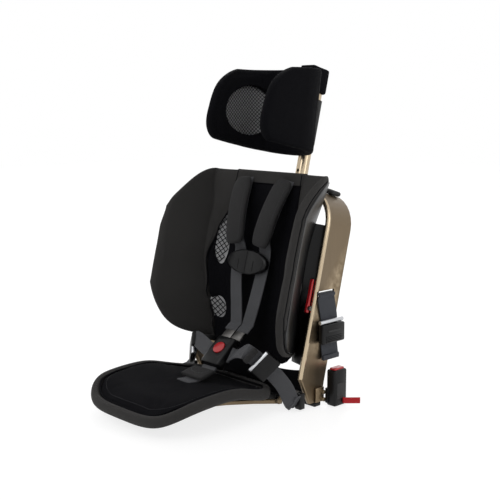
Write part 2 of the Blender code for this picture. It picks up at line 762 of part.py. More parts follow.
def make_pole_and_guide():
    """Headrest pole with its row of holes, the guide that carries it, and the height lock."""
    pole = tube(
        "headrest_pole", tilt(0, POLE_DEPTH, POLE_BOTTOM), tilt(0, POLE_DEPTH, POLE_TOP),
        POLE_RADIUS, POLE_RADIUS - POLE_WALL, "bronze",
    )
    for i in range(POLE_HOLE_COUNT):
        s = POLE_FIRST_HOLE - i * POLE_HOLE_PITCH
        hole = rod(
            f"cut_pole_{i}", tilt(0, POLE_DEPTH - POLE_RADIUS - OVERRUN, s), tilt(0, POLE_DEPTH, s),
            POLE_HOLE_RADIUS, "bronze", SMALL_SIDES,
        )
        cut(pole, hole)
    bore = POLE_RADIUS + POLE_CLEARANCE
    guide = tube(
        "pole_guide", tilt(0, POLE_DEPTH, GUIDE_BOTTOM), tilt(0, POLE_DEPTH, HOOP_HEIGHT + 2 * GUIDE_WALL),
        bore + GUIDE_WALL, bore, "black_plastic",
    )
    base = HOOP_HEIGHT + GAP
    collar = lean_block(
        "join_collar", (-COLLAR_HALF_WIDTH, POLE_DEPTH - COLLAR_HALF_WIDTH, base),
        (COLLAR_HALF_WIDTH, COLLAR_REAR, base + COLLAR_HEIGHT), "black_plastic", COLLAR_BEVEL,
    )
    cut(collar, rod(
        "cut_collar", tilt(0, POLE_DEPTH, base - OVERRUN), tilt(0, POLE_DEPTH, base + COLLAR_HEIGHT + OVERRUN),
        bore + GUIDE_WALL / 2, "black_plastic",
    ))
    middle = base + COLLAR_HEIGHT / 2
    bottom = COLLAR_REAR - LOCK_BUTTON_LENGTH / 2 - LOCK_TRAVEL
    seat = COLLAR_REAR - LOCK_BUTTON_LENGTH / 2
    cut(collar, rod(
        "cut_lock", tilt(0, bottom - GAP, middle), tilt(0, COLLAR_REAR + OVERRUN, middle),
        LOCK_BUTTON_RADIUS + GAP, "black_plastic",
    ))
    button = rod(
        "height_lock_button", tilt(0, seat, middle), tilt(0, seat + LOCK_BUTTON_LENGTH, middle),
        LOCK_BUTTON_RADIUS, "red", top_radius=LOCK_BUTTON_RADIUS - POLE_WALL,
    )
    hang(tilt(0, seat, middle), "height_lock_axis", button)
    rings = []
    for s in (GUIDE_BOTTOM + GUIDE_WALL, GUIDE_BOTTOM + GUIDE_FOOT_HEIGHT):
        front = panel_depth(s) + PANEL_THICKNESS + SHELL_THICKNESS + 3 * GAP
        rear = POLE_DEPTH - bore - GUIDE_WALL / 2
        corners = ((-1, front), (1, front), (1, rear), (-1, rear))
        rings.append([tilt(side * GUIDE_FOOT_HALF_WIDTH, d, s) for side, d in corners])
    bm = bmesh.new()
    loft(bm, rings)
    join(guide, collar)
    join(guide, add("join_guide_foot", bm, "black_plastic"))
    return pole


def head_point(x, back, up):
    """Point given across, behind the rear of the headrest and up along its own, steeper lean."""
    foot = tilt(0, HEAD_DEPTH, HOOP_HEIGHT + HEAD_RISE)
    return foot + Vector((
        x, up * math.sin(HEAD_LEAN) + back * math.cos(HEAD_LEAN),
        up * math.cos(HEAD_LEAN) - back * math.sin(HEAD_LEAN),
    ))


def head_place(w, v, inset):
    """Point of the headrest's wrap: w runs from one front tip over the rear to the other, v from bottom to top."""
    side, r = (1 if w >= 0 else -1), abs(w)
    radius = HEAD_RADIUS - inset
    if r <= HEAD_ROUND_SHARE:
        angle = math.pi / 2 * r / HEAD_ROUND_SHARE
        x, back = radius * math.sin(angle), radius * math.cos(angle) - HEAD_RADIUS
    else:
        u = (r - HEAD_ROUND_SHARE) / (1 - HEAD_ROUND_SHARE)
        length = HEAD_ARM * (
            1 - HEAD_SLANT_SHARE * v - HEAD_TOP_CORNER_SHARE * v**EDGE_POWER
            - HEAD_BOTTOM_CORNER_SHARE * (1 - v) ** EDGE_POWER
        )
        x = radius - (HEAD_RADIUS - HEAD_TIP_HALF_WIDTH) * u * u
        back = -HEAD_RADIUS - length * u
    low, high = -back * math.tan(HEAD_SWEEP), HEAD_HEIGHT + back * math.tan(HEAD_LEAN)
    return head_point(side * x, back, low + (high - low) * v)


def pole_block(name, low, high, wall, finish):
    """Block from the rear of the headrest round the pole, with a front that follows the headrest's lean."""
    rings = []
    foot = HOOP_HEIGHT + HEAD_RISE
    radius = POLE_RADIUS + wall
    for s in (low, high):
        front = HEAD_DEPTH - (s - foot) * math.tan(LEAN - HEAD_LEAN) + 2 * GAP
        ring = [tilt(-radius, front, s), tilt(radius, front, s)]
        for angle in even(0, math.pi, SMALL_SIDES // 2):
            ring.append(tilt(radius * math.cos(angle), POLE_DEPTH + radius * math.sin(angle), s))
        rings.append(ring)
    bm = bmesh.new()
    loft(bm, rings)
    return add(name, bm, finish)


def head_layer(name, outer, inner, finish, tuck=0):
    """One layer of the wrap between two insets, drawn in at its free edges by a share."""
    columns = even(-1 + tuck, 1 - tuck, 28)
    rows = even(tuck, 1 - tuck, 8)
    grids = ([], [])
    for w in columns:
        for grid, start, sign in zip(grids, (outer, inner), (1, -1)):
            row = []
            for v in rows:
                fill = (1 - abs(w) ** (3 * EDGE_POWER)) * (1 - abs(2 * v - 1) ** EDGE_POWER)
                pinch = 0 if tuck else (1 - fill) * (1 - EDGE_ROUND_SHARE) / 2
                row.append(head_place(w, v, start + sign * pinch * (inner - outer)))
            grid.append(row)
    bm = bmesh.new()
    slab(bm, *grids)
    return add(name, bm, finish)


def make_headrest(pole):
    """Wrap of pad and inner mesh, the rear carrier, and the block and pocket that hold it on the pole."""
    pad = head_layer("headrest_pad", HEAD_SHELL_THICKNESS + GAP, HEAD_THICKNESS, "knit")
    shell = head_layer("headrest_shell", 0, HEAD_SHELL_THICKNESS, "black_plastic", tuck=0.02)
    liner = head_layer("headrest_mesh", HEAD_THICKNESS + GAP, HEAD_THICKNESS + GAP + HEAD_LINER, "knit", tuck=0.03)
    middle = head_point(0, -HEAD_WINDOW_REACH, HEAD_WINDOW_UP)
    across = ACROSS * (HEAD_RADIUS + OVERRUN)
    window = rod("cut_headrest_pad", middle - across, middle + across, HEAD_WINDOW_HALF_HEIGHT, "knit")
    stretch = Matrix.Diagonal((1, HEAD_WINDOW_HALF_LENGTH / HEAD_WINDOW_HALF_HEIGHT, 1, 1))
    centre = Matrix.Translation(middle)
    window.data.transform(centre @ stretch @ centre.inverted())
    cut(pad, window)
    bore = POLE_RADIUS + GAP
    low = HOOP_HEIGHT + HEAD_RISE + HEAD_BRACKET_UP
    high = low + HEAD_BRACKET_HEIGHT
    bracket = pole_block("headrest_bracket", low, high, HEAD_BRACKET_WALL, "black_plastic")
    cut(bracket, rod("cut_bracket", tilt(0, POLE_DEPTH, low - OVERRUN), tilt(0, POLE_DEPTH, high + OVERRUN),
                     bore, "black_plastic"))
    high = HOOP_HEIGHT + HEAD_RISE + HEAD_HEIGHT + HEAD_CAP_RISE
    low = high - HEAD_CAP_HEIGHT
    cap = pole_block("headrest_pocket", low, high, HEAD_BRACKET_WALL + HEAD_CAP_WALL, "knit")
    cut(cap, rod("cut_pocket", tilt(0, POLE_DEPTH, low - OVERRUN), tilt(0, POLE_DEPTH, POLE_TOP + GAP), bore, "knit"))
    hang(tilt(0, POLE_DEPTH, HOOP_HEIGHT), "headrest_axis", pole, pad, shell, liner, bracket, cap)


def make_bumpers():
    """Round black bumpers that sit on the hoop's corners."""
    centre_x, springing = LEG_X - HOOP_CORNER_RADIUS, HOOP_HEIGHT - HOOP_CORNER_RADIUS
    angle = math.asin(1 - BUMPER_INBOARD / HOOP_CORNER_RADIUS)
    for name, side in SIDES:
        out = ACROSS * side * math.sin(angle) + UP_LEAN * math.cos(angle)
        foot = tilt(side * centre_x, BUMPER_D, springing) + out * (HOOP_CORNER_RADIUS - HOOP_RECESS + GAP)
        turn = turned(out, BACK_LEAN)
        block("crown_bumper_" + name, foot + out * BUMPER_HEIGHT / 2, (BUMPER_DEPTH, BUMPER_LENGTH, BUMPER_HEIGHT),
              "rubber", turn, BUMPER_HEIGHT * 0.4)


def make_levers():
    """Red fold levers in front of the legs, each on a pin in a block inside the leg."""
    axis_d = -HOOP_FRONT - GAP - LEVER_THICKNESS / 2
    low = LEVER_S - LEVER_LENGTH / 2 + LEVER_BASE_LENGTH / 2
    for name, side in SIDES:
        inner = LEG_INNER_X - LEVER_INSET
        outer = inner - LEVER_BASE_THICKNESS
        levels = (low - LEVER_BASE_LENGTH / 2, low + LEVER_BASE_LENGTH / 2)
        lever_x = (inner + GAP, inner + GAP + LEVER_WIDTH)
        cheek_low, cheek_high = sorted((side * outer, side * inner))
        mount = lean_block("lever_mount_" + name, (cheek_low, axis_d - LEVER_THICKNESS / 2, levels[0]),
                           (cheek_high, BEAD_RADIUS - HOOP_FRONT, levels[1]), "black_plastic")
        foot_low, foot_high = sorted((side * (outer + GAP), side * (LEG_INNER_X - GAP)))
        join(mount, lean_block("join_lever_foot_" + name, (foot_low, GAP - HOOP_FRONT, levels[0] + GAP),
                               (foot_high, BEAD_RADIUS - HOOP_FRONT - GAP, levels[1] - GAP), "black_plastic"))
        steps = ((-0.5, 0.75), (-0.42, 1.0), (-0.3, 1.0), (-0.2, 0.7), (0.4, 0.6), (0.5, 0.35))
        rings = []
        for share, width_share in steps:
            s = LEVER_S + share * LEVER_LENGTH
            middle = tilt(side * (lever_x[0] + lever_x[1]) / 2, axis_d, s)
            rings.append([
                middle + ACROSS * a + BACK_LEAN * b
                for a, b in section(LEVER_WIDTH, LEVER_THICKNESS * width_share, 0.4)
            ])
        bm = bmesh.new()
        loft(bm, rings)
        lever = add("fold_lever_" + name, bm, "red")
        start, end = (tilt(side * x, axis_d, low) for x in lever_x)
        cut(lever, rod("cut_lever_" + name, start - ACROSS * side * OVERRUN, end + ACROSS * side * OVERRUN,
                       LEVER_PIN_RADIUS + GAP, "red", SMALL_SIDES))
        reach = (end - start).length + GAP + LEVER_BASE_THICKNESS / 2
        sunk = start - ACROSS * side * LEVER_BASE_THICKNESS / 2
        join(mount, stepped_bar("join_lever_pin_" + name, sunk, end - start, "steel", (
            (0, LEVER_PIN_RADIUS), (reach, LEVER_PIN_RADIUS), (reach, LEVER_PIN_HEAD),
            (reach + LEVER_PIN_RADIUS, LEVER_PIN_HEAD),
        )))
        hang(start, "lever_axis_" + name, lever)


def seat_y(share):
    return -SEAT_FRONT + (SEAT_FRONT - SEAT_REAR) * share


def seat_outline(inset=0):
    """Points round the seat's edge, seen from above, moved in by an inset; they run from the rear middle."""
    half = [(SEAT_HALF_WIDTH * shares_at(SEAT_WIDTH_SHARES, share), seat_y(share))
            for share in (1.0, 0.97, 0.90, 0.80, 0.70, 0.60, 0.50, 0.40, 0.30, 0.20, 0.12, 0.06, 0.025, 0.0)]
    points = [Vector((0, half[0][1], 0))] + [Vector((x, y, 0)) for x, y in half]
    points += [Vector((0, half[-1][1], 0))] + [Vector((-x, y, 0)) for x, y in reversed(half)]
    moved = []
    for i, point in enumerate(points):
        along = points[(i + 1) % len(points)] - points[i - 1]
        inward = Vector((along.y, -along.x, 0)).normalized()
        if inward.dot(Vector((0, (seat_y(0) + seat_y(1)) / 2, 0)) - point) < 0:
            inward.negate()
        moved.append(point + inward * inset)
    return moved


def seat_rim(y):
    """Height of the rim's underside at a place between front and rear."""
    return SEAT_RIM_HEIGHT * shares_at(SEAT_HEIGHT_SHARES, (y + SEAT_FRONT) / (SEAT_FRONT - SEAT_REAR))


def seat_disc(name, inset, low, high, finish):
    """Dished plate inside the rim: low and high give its faces above the rim's underside at a share outward."""
    outline = seat_outline(inset)
    middle = Vector((0, (seat_y(0) + seat_y(1)) / 2, 0))
    shares = (0.25, 0.5, 0.72, 0.88, 1.0)
    bm = bmesh.new()
    faces = []
    for height in (low, high):
        def at(point, share):
            spot = middle + (point - middle) * share
            spot.z = seat_rim(spot.y) + height(share)
            return bm.verts.new(spot)
        loops = [[at(point, share) for point in outline] for share in shares]
        centre = at(middle, 0)
        for i in range(len(outline)):
            j = (i + 1) % len(outline)
            bm.faces.new((centre, loops[0][i], loops[0][j]))
            for inside, outside in zip(loops, loops[1:]):
                bm.faces.new((inside[i], outside[i], outside[j], inside[j]))
        faces.append(loops[-1])
    for i in range(len(outline)):
        j = (i + 1) % len(outline)
        bm.faces.new((faces[0][i], faces[0][j], faces[1][j], faces[1][i]))
    return add(name, bm, finish)


def make_seat():
    """Seat pan: thin dished shell, crowned pad, and the raised border round both."""
    inset = SEAT_BORDER_WIDTH + GAP
    pad_low = SEAT_SHELL_THICKNESS + GAP
    pad_top = SEAT_BORDER_HEIGHT - SEAT_CROWN

    def dish(share):
        return -SEAT_DISH * (1 - share * share)

    shell = seat_disc("seat_shell", inset, dish, lambda share: dish(share) + SEAT_SHELL_THICKNESS, "black_plastic")
    pad = seat_disc(
        "seat_pad", inset, lambda share: dish(share) + pad_low,
        lambda share: dish(share) + pad_top + SEAT_CROWN * (1 - share**EDGE_POWER), "knit",
    )
    outer, inner = seat_outline(), seat_outline(SEAT_BORDER_WIDTH)
    rings = []
    for edge, inside in zip(outer, inner):
        base = Vector((0, 0, seat_rim((edge.y + inside.y) / 2)))
        ring = []
        for share, rise in ((0.0, 0.3), (0.0, 0.75), (0.25, 1.0), (0.75, 1.0), (1.0, 0.75), (1.0, 0.1), (0.3, 0.0)):
            ring.append(edge.lerp(inside, share) + base + Vector((0, 0, SEAT_BORDER_HEIGHT * rise)))
        rings.append(ring)
    bm = bmesh.new()
    loft(bm, rings, closed=True)
    border = add("seat_border", bm, "wing_cloth")
    return [shell, pad, border]


def make_seat_frame():
    """Bent under-seat frame: it lies on the floor behind, rises under the shell and crosses at the front."""
    half = RAIL_HEIGHT / 2
    toe = HINGE_Y - RAIL_TOE
    rise = toe - RAIL_RISE_LENGTH
    front = HINGE_Y - RAIL_LENGTH
    side_run = [
        Vector((RAIL_X, HINGE_Y + RAIL_HEIGHT, HINGE_Z)),
        Vector((RAIL_X, HINGE_Y, HINGE_Z)),
        Vector((RAIL_X, HINGE_Y - 4 * RAIL_HEIGHT, half)),
        Vector((RAIL_X, toe, half)),
    ]
    for y in (rise, (rise + front) / 2, front + RAIL_WIDTH):
        side_run.append(Vector((RAIL_FRONT_X, y, seat_rim(y) - SEAT_DISH - 2 * GAP - half)))
    side_run.append(Vector((RAIL_FRONT_X - RAIL_WIDTH, front, seat_rim(front) - SEAT_DISH - 2 * GAP - half)))
    run = side_run + [Vector((-p.x, p.y, p.z)) for p in reversed(side_run)]
    rings = []
    for point, along in zip(run, directions(run)):
        wide = along.cross(Vector((0, 0, 1))).normalized()
        thick = wide.cross(along)
        rings.append([point + wide * a + thick * b for a, b in section(RAIL_WIDTH, RAIL_HEIGHT)])
    bm = bmesh.new()
    loft(bm, rings)
    frame = add("seat_frame", bm, "bronze")
    for name, side in SIDES:
        inner = Vector((side * (RAIL_X - RAIL_WIDTH / 2 - GAP), HINGE_Y, HINGE_Z))
        reach = LEG_X - HOOP_RECESS - HOOP_WALL - GAP - RAIL_X + RAIL_WIDTH / 2 + GAP
        cut(frame, rod("cut_rail_" + name, inner - ACROSS * side * OVERRUN, inner + ACROSS * side * 2 * RAIL_WIDTH,
                       HINGE_RADIUS + GAP, "bronze", SMALL_SIDES))
        stepped_bar("hinge_bolt_" + name, inner - ACROSS * side * HINGE_HEAD, ACROSS * side, "steel", (
            (0, HINGE_HEAD_RADIUS), (HINGE_HEAD, HINGE_HEAD_RADIUS), (HINGE_HEAD, HINGE_RADIUS),
            (HINGE_HEAD + reach, HINGE_RADIUS),
        ))
    return frame


def pad_place(side, share, behind=0):
    """Middle of a shoulder pad from its top (0) to its lower end (1), or of what lies behind it."""
    s = PAD_TOP_S + (PAD_BOTTOM_S - PAD_TOP_S) * share
    x = PAD_TOP_X + (PAD_BOTTOM_X - PAD_TOP_X) * share
    top = panel_depth(PAD_TOP_S) - 3 * GAP - WEB_THICKNESS - PAD_THICKNESS / 2
    d = top + (-PAD_BOTTOM_DEPTH - top) * share**2 - PAD_BULGE * math.sin(math.pi * share)
    return tilt(side * x, d + behind, s)


def make_shoulder_harness():
    """Shoulder pads, the webbing behind them down to the buckle, and the two halves of the chest clip."""
    for name, side in SIDES:
        run = [pad_place(side, share) for share in even(0, 1, 8)]
        rings = []
        for i, ring in enumerate(sweep(run, section(PAD_WIDTH, PAD_THICKNESS, 0.7), ACROSS)):
            squeeze = 1 if 0 < i < len(run) - 1 else 0.75
            rings.append([run[i] + (point - run[i]) * squeeze for point in ring])
        bm = bmesh.new()
        loft(bm, rings)
        add("shoulder_pad_" + name, bm, "pad_cloth")
        behind = PAD_THICKNESS / 2 + 3 * GAP + WEB_THICKNESS / 2
        points = [pad_place(side, share, behind) for share in even(0, 0.9, 8)]
        clip_d = -CLIP_DEPTH + (CLIP_THICKNESS + WEB_THICKNESS) / 2 + GAP
        for s in (CLIP_S + CLIP_HALF_HEIGHT, CLIP_S - CLIP_HALF_HEIGHT):
            points.append(tilt(side * PAD_BOTTOM_X, clip_d, s))
        end = BUCKLE_LENGTH / 2 + TONGUE_LENGTH + 2 * GAP
        points += [buckle_place(side * HARNESS_LOWER_X, end + TONGUE_LENGTH * share, 0) for share in (1, 0.5, 0)]
        strap("harness_web_" + name, points, HARNESS_WIDTH, WEB_THICKNESS)
    moving = []
    for name, side in SIDES:
        bm = bmesh.new()
        rings = []
        for d_share, size in ((-0.5, 0.9), (-0.3, 1.0), (0.3, 1.0), (0.5, 0.9)):
            ring = [tilt(side * GAP / 2, -CLIP_DEPTH + CLIP_THICKNESS * d_share, CLIP_S + CLIP_HALF_HEIGHT * size * rise)
                    for rise in (-1, 1)]
            for angle in even(0, math.pi, 10)[1:-1]:
                ring.append(tilt(
                    side * CLIP_HALF_WIDTH * size * math.sin(angle), -CLIP_DEPTH + CLIP_THICKNESS * d_share,
                    CLIP_S + CLIP_HALF_HEIGHT * size * math.cos(angle),
                ))
            rings.append(ring)
        loft(bm, rings)
        moving.append(add("chest_clip_" + name, bm, "black_plastic"))
    tongue = lean_block(
        "cut_clip_key", (-CLIP_TONGUE, -CLIP_DEPTH - CLIP_TONGUE_THICKNESS / 2, CLIP_S - CLIP_TONGUE_HEIGHT),
        (0, -CLIP_DEPTH + CLIP_TONGUE_THICKNESS / 2, CLIP_S + CLIP_TONGUE_HEIGHT), "black_plastic",
    )
    cut(moving[1], tongue)
    key = lean_block(
        "join_clip_key",
        (-CLIP_TONGUE + GAP, -CLIP_DEPTH - CLIP_TONGUE_THICKNESS / 2 + GAP, CLIP_S - CLIP_TONGUE_HEIGHT + GAP),
        (CLIP_TONGUE, -CLIP_DEPTH + CLIP_TONGUE_THICKNESS / 2 - GAP, CLIP_S + CLIP_TONGUE_HEIGHT - GAP),
        "black_plastic",
    )
    join(moving[0], key)
    hang(tilt(0, -CLIP_DEPTH, CLIP_S), "chest_clip_axis", moving[0])


def buckle_axes():
    """The buckle's long direction, rising to the rear, and the direction its face looks."""
    return (Vector((0, math.cos(BUCKLE_PITCH), math.sin(BUCKLE_PITCH))),
            Vector((0, -math.sin(BUCKLE_PITCH), math.cos(BUCKLE_PITCH))))


def buckle_place(x, along, out):
    up, face = buckle_axes()
    return Vector((x, -BUCKLE_Y, BUCKLE_Z)) + up * along + face * out


def make_buckle():
    """Buckle with its press button, two tongues, the crotch webbing and the pad at its foot."""
    up, face = buckle_axes()
    turn = Matrix((ACROSS, up, face)).transposed().to_4x4()
    body = block("buckle_body", buckle_place(0, 0, 0), (BUCKLE_WIDTH, BUCKLE_LENGTH, BUCKLE_THICKNESS),
                 "black_plastic", turn, BUCKLE_BEVEL)
    top = BUCKLE_THICKNESS / 2
    sunk = BUTTON_HEIGHT - BUTTON_TRAVEL / 2
    cut(body, rod("cut_buckle", buckle_place(0, BUTTON_UP_BUCKLE, top - sunk - BUTTON_TRAVEL - GAP),
                  buckle_place(0, BUTTON_UP_BUCKLE, top + OVERRUN), BUTTON_RADIUS + GAP, "black_plastic"))
    button = rod("buckle_button", buckle_place(0, BUTTON_UP_BUCKLE, top - sunk),
                 buckle_place(0, BUTTON_UP_BUCKLE, top - sunk + BUTTON_HEIGHT), BUTTON_RADIUS, "red")
    pieces = [body]
    for name, side in SIDES:
        low = BUCKLE_LENGTH / 2 + GAP
        centre = buckle_place(side * TONGUE_X, low + TONGUE_LENGTH / 2, 0)
        pieces.append(block("tongue_" + name, centre, (TONGUE_WIDTH, TONGUE_LENGTH, TONGUE_THICKNESS), "steel", turn))
    web_run = []
    for y in (-CROTCH_Y - CROTCH_WIDTH / 2, -CROTCH_Y):
        web_run.append(Vector((0, y, seat_rim(y) - SEAT_DISH + SEAT_BORDER_HEIGHT + WEB_THICKNESS + 4 * GAP)))
    foot = web_run[1]
    web_run += [buckle_place(0, -BUCKLE_LENGTH / 2 - 2 * GAP - run * WEB_THICKNESS, 0) for run in (6, 3, 0)]
    pieces.append(strap("crotch_web", web_run, CROTCH_WIDTH, 2 * WEB_THICKNESS))
    along = (web_run[2] - foot).normalized()
    lift = CROTCH_PAD_THICKNESS / 2 + WEB_THICKNESS + 2 * GAP
    centre = (foot + web_run[2]) / 2 + ACROSS.cross(along) * lift
    length = (web_run[2] - foot).length - 2 * WEB_THICKNESS
    turn = Matrix((ACROSS, along, ACROSS.cross(along))).transposed().to_4x4()
    pieces.append(block("crotch_pad", centre, (CROTCH_PAD_WIDTH, length, CROTCH_PAD_THICKNESS), "pad_cloth", turn,
                        CROTCH_PAD_THICKNESS / 3))
    hang(foot, "buckle_axis", button, *pieces)


def make_hip_belts():
    """Hip webbing from the buckle to the foot of each leg, with its adjuster, cross bar and anchor."""
    for name, side in SIDES:
        wide = Vector(HIP_WIDE[name]).normalized()
        roll, bar, tail = (Vector(place[name]) for place in (HIP_ROLL_PLACE, HIP_BAR_PLACE, HIP_TAIL_PLACE))
        near = buckle_place(side * (BUCKLE_WIDTH / 2 + 2 * GAP), 0, 0)
        foot = Vector((side * (LEG_X - BEAD_RADIUS), HIP_FOOT_Y, HIP_FOOT_HEIGHT))
        along = (tail - bar).normalized()
        wide = (wide - along * wide.dot(along)).normalized()
        out = along.cross(wide) * side
        behind = -out * (HIP_ADJUSTER_THICKNESS / 2 + GAP + WEB_THICKNESS / 2)
        centre = bar + along * HIP_ADJUSTER_LENGTH / 2
        leave = centre + along * (HIP_ADJUSTER_LENGTH / 2 + GAP)
        points = [near + ACROSS * side * HARNESS_WIDTH * share / 4 for share in HIP_FAN_SHARES]
        points += [roll, bar + behind, centre + behind]
        points += [leave + behind, (leave + behind).lerp(foot, 0.5)]
        points += [foot - Vector((0, HIP_ANCHOR_LENGTH * share, 0)) for share in (1, 0.5, 0)]
        strap("hip_web_" + name, points, HARNESS_WIDTH, WEB_THICKNESS, wide)
        turn = Matrix((wide, along, wide.cross(along))).transposed().to_4x4()
        adjuster = block(
            "hip_adjuster_" + name, centre, (HIP_ADJUSTER_WIDTH, HIP_ADJUSTER_LENGTH, HIP_ADJUSTER_THICKNESS),
            "black_plastic", turn, HIP_ADJUSTER_THICKNESS * 0.3,
        )
        half = wide * (HIP_ADJUSTER_WIDTH / 2 + HIP_BAR_RADIUS / 4)
        join(adjuster, rod("join_hip_bar_" + name, bar - half, bar + half, HIP_BAR_RADIUS, "silver", SMALL_SIDES))
        block("hip_anchor_" + name, Vector((foot.x, foot.y + HIP_ANCHOR_LENGTH / 2 + GAP, foot.z)),
              (HIP_ANCHOR_WIDTH, HIP_ANCHOR_LENGTH, HIP_ANCHOR_HEIGHT), "black_plastic", bevel=WEB_THICKNESS / 2)


def make_latches():
    """Latch webbing through each leg and down to its tail, with the tilting adjuster and cross bar over it."""
    for name, side in SIDES:
        wall = LEG_X - HOOP_RECESS
        web_x = wall + 2 * GAP + WEB_THICKNESS / 2
        clear_x = wall + 3 * GAP + WEB_THICKNESS
        top = LATCH_BAR_Z - ADJUSTER_BAR_RADIUS - GAP
        bottom = top - ADJUSTER_LENGTH
        rows = (
            (wall - HOOP_WALL - WEB_THICKNESS, LATCH_SLOT_Y, LATCH_SLOT_Z),
            (wall, LATCH_SLOT_Y, LATCH_SLOT_Z),
            (web_x + WEB_THICKNESS, LATCH_SLOT_Y, LATCH_SLOT_Z - WEB_THICKNESS),
            (web_x, LATCH_SLOT_Y, LATCH_SLOT_Z - 4 * WEB_THICKNESS),
            (web_x, LATCH_BAR_Y, LATCH_BAR_Z),
            (web_x, LATCH_BAR_Y, bottom),
            (clear_x + ADJUSTER_THICKNESS / 4, LATCH_BAR_Y, bottom - TAIL_LENGTH),
        )
        points = [Vector((side * x, y, z)) for x, y, z in rows]
        rearward = Vector((0, 1, 0))
        bm = bmesh.new()
        loft(bm, sweep(points, section(LATCH_WEB_WIDTH, WEB_THICKNESS), rearward))
        add("latch_web_" + name, bm, "webbing")
        bar = Vector((side * (clear_x + ADJUSTER_BAR_RADIUS), LATCH_BAR_Y, LATCH_BAR_Z))
        half = rearward * ADJUSTER_WIDTH / 2
        rod("latch_bar_" + name, bar - half, bar + half, ADJUSTER_BAR_RADIUS, "silver", SMALL_SIDES)
        centre = Vector((side * (clear_x + ADJUSTER_THICKNESS / 2), LATCH_BAR_Y, (top + bottom) / 2))
        body = block("latch_adjuster_" + name, centre, (ADJUSTER_THICKNESS, ADJUSTER_WIDTH, ADJUSTER_LENGTH),
                     "black_plastic", bevel=ADJUSTER_THICKNESS / 4)
        hang(bar, "latch_adjuster_axis_" + name, body)
        make_connector(name, side)


def make_connector(name, side):
    """Stowed connector: housing with a press button, jaw, pull tape, and the bracket and pins that hold it."""
    x = side * CONNECTOR_X
    outward = ACROSS * side
    rearward = Vector((0, 1, 0))
    centre = Vector((x, CONNECTOR_Y, (CONNECTOR_BOTTOM + CONNECTOR_TOP) / 2))
    height = CONNECTOR_TOP - CONNECTOR_BOTTOM
    housing = block("connector_" + name, centre, (CONNECTOR_WIDTH, CONNECTOR_DEPTH, height), "black_plastic",
                    bevel=CONNECTOR_BEVEL)
    seat = Vector((x, CONNECTOR_Y, CONNECTOR_TOP - RELEASE_TRAVEL))
    size = (RELEASE_WIDTH, RELEASE_LENGTH, RELEASE_HEIGHT)
    recess = block("cut_connector_" + name, seat + Vector((0, 0, RELEASE_TRAVEL)),
                   [a + 2 * GAP for a in size[:2]] + [4 * RELEASE_TRAVEL + 2 * GAP], "black_plastic")
    cut(housing, recess)
    button = block("connector_button_" + name, seat + Vector((0, 0, RELEASE_HEIGHT / 2)), size, "red",
                   bevel=RELEASE_TRAVEL / 2)
    hang(seat, "connector_button_axis_" + name, button)
    root = Vector((side * (CONNECTOR_X + CONNECTOR_WIDTH / 2 + GAP), CONNECTOR_Y + CONNECTOR_DEPTH / 2 - PULL_WIDTH,
                   CONNECTOR_BOTTOM + CONNECTOR_BEVEL + PULL_WIDTH / 2))
    run = outward * math.cos(PULL_ANGLE) + rearward * math.sin(PULL_ANGLE)
    bend = root + outward * PULL_THICKNESS
    strap("pull_tape_" + name, [root, bend, bend + run * PULL_LENGTH], PULL_WIDTH, PULL_THICKNESS,
          Vector((0, 0, 1)), "red")
    lug_x = LEG_X - HOOP_RECESS + GAP + LUG_THICKNESS / 2
    middle, depth = (LUG_FRONT + LUG_REAR) / 2, LUG_REAR - LUG_FRONT
    lug = block("latch_lug_" + name, Vector((side * lug_x, middle, (LEG_BOTTOM + LUG_HEIGHT) / 2)),
                (LUG_THICKNESS, depth, LUG_HEIGHT - LEG_BOTTOM), "bronze", bevel=LUG_THICKNESS / 4)
    pin_y = LUG_REAR - 1.5 * LUG_PIN_RADIUS
    levels = [LEG_BOTTOM + (LUG_HEIGHT - LEG_BOTTOM) * share for share in LUG_PIN_SHARES]
    for index, level in enumerate(levels):
        pin = Vector((side * lug_x, pin_y, level))
        join(lug, rod(f"join_latch_pin_{index}_{name}", pin, pin + outward * (LUG_THICKNESS / 2 + JAW_WIDTH),
                      LUG_PIN_RADIUS, "steel", SMALL_SIDES))
    jaw_x = side * (CONNECTOR_X - CONNECTOR_WIDTH / 2 + CONNECTOR_BEVEL)
    jaw_front = pin_y + LUG_PIN_RADIUS + GAP
    jaw_rear = CONNECTOR_Y - CONNECTOR_DEPTH / 2 + CONNECTOR_BEVEL
    join(housing, block("join_jaw_" + name, Vector((jaw_x, (jaw_front + jaw_rear) / 2, sum(levels) / len(levels))),
                        (JAW_WIDTH, jaw_rear - jaw_front, levels[1] - levels[0] + JAW_HEIGHT), "steel"))


def build():
    clear_scene()
    make_hoop()
    make_base()
    make_back()
    make_shell_brackets()
    make_headrest(make_pole_and_guide())
    make_bumpers()
    make_levers()
    hang((0, HINGE_Y, HINGE_Z), "seat_axis", *make_seat(), make_seat_frame())
    make_shoulder_harness()
    make_buckle()
    make_hip_belts()
    make_latches()


build()
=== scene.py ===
"""Looks of the folding travel car seat: covers, nets, webbing, metal, moulded plastic, light and camera."""
import json
import math

import bmesh
import bpy
from mathutils import Matrix, Vector
from mathutils.bvhtree import BVHTree
from mathutils.kdtree import KDTree

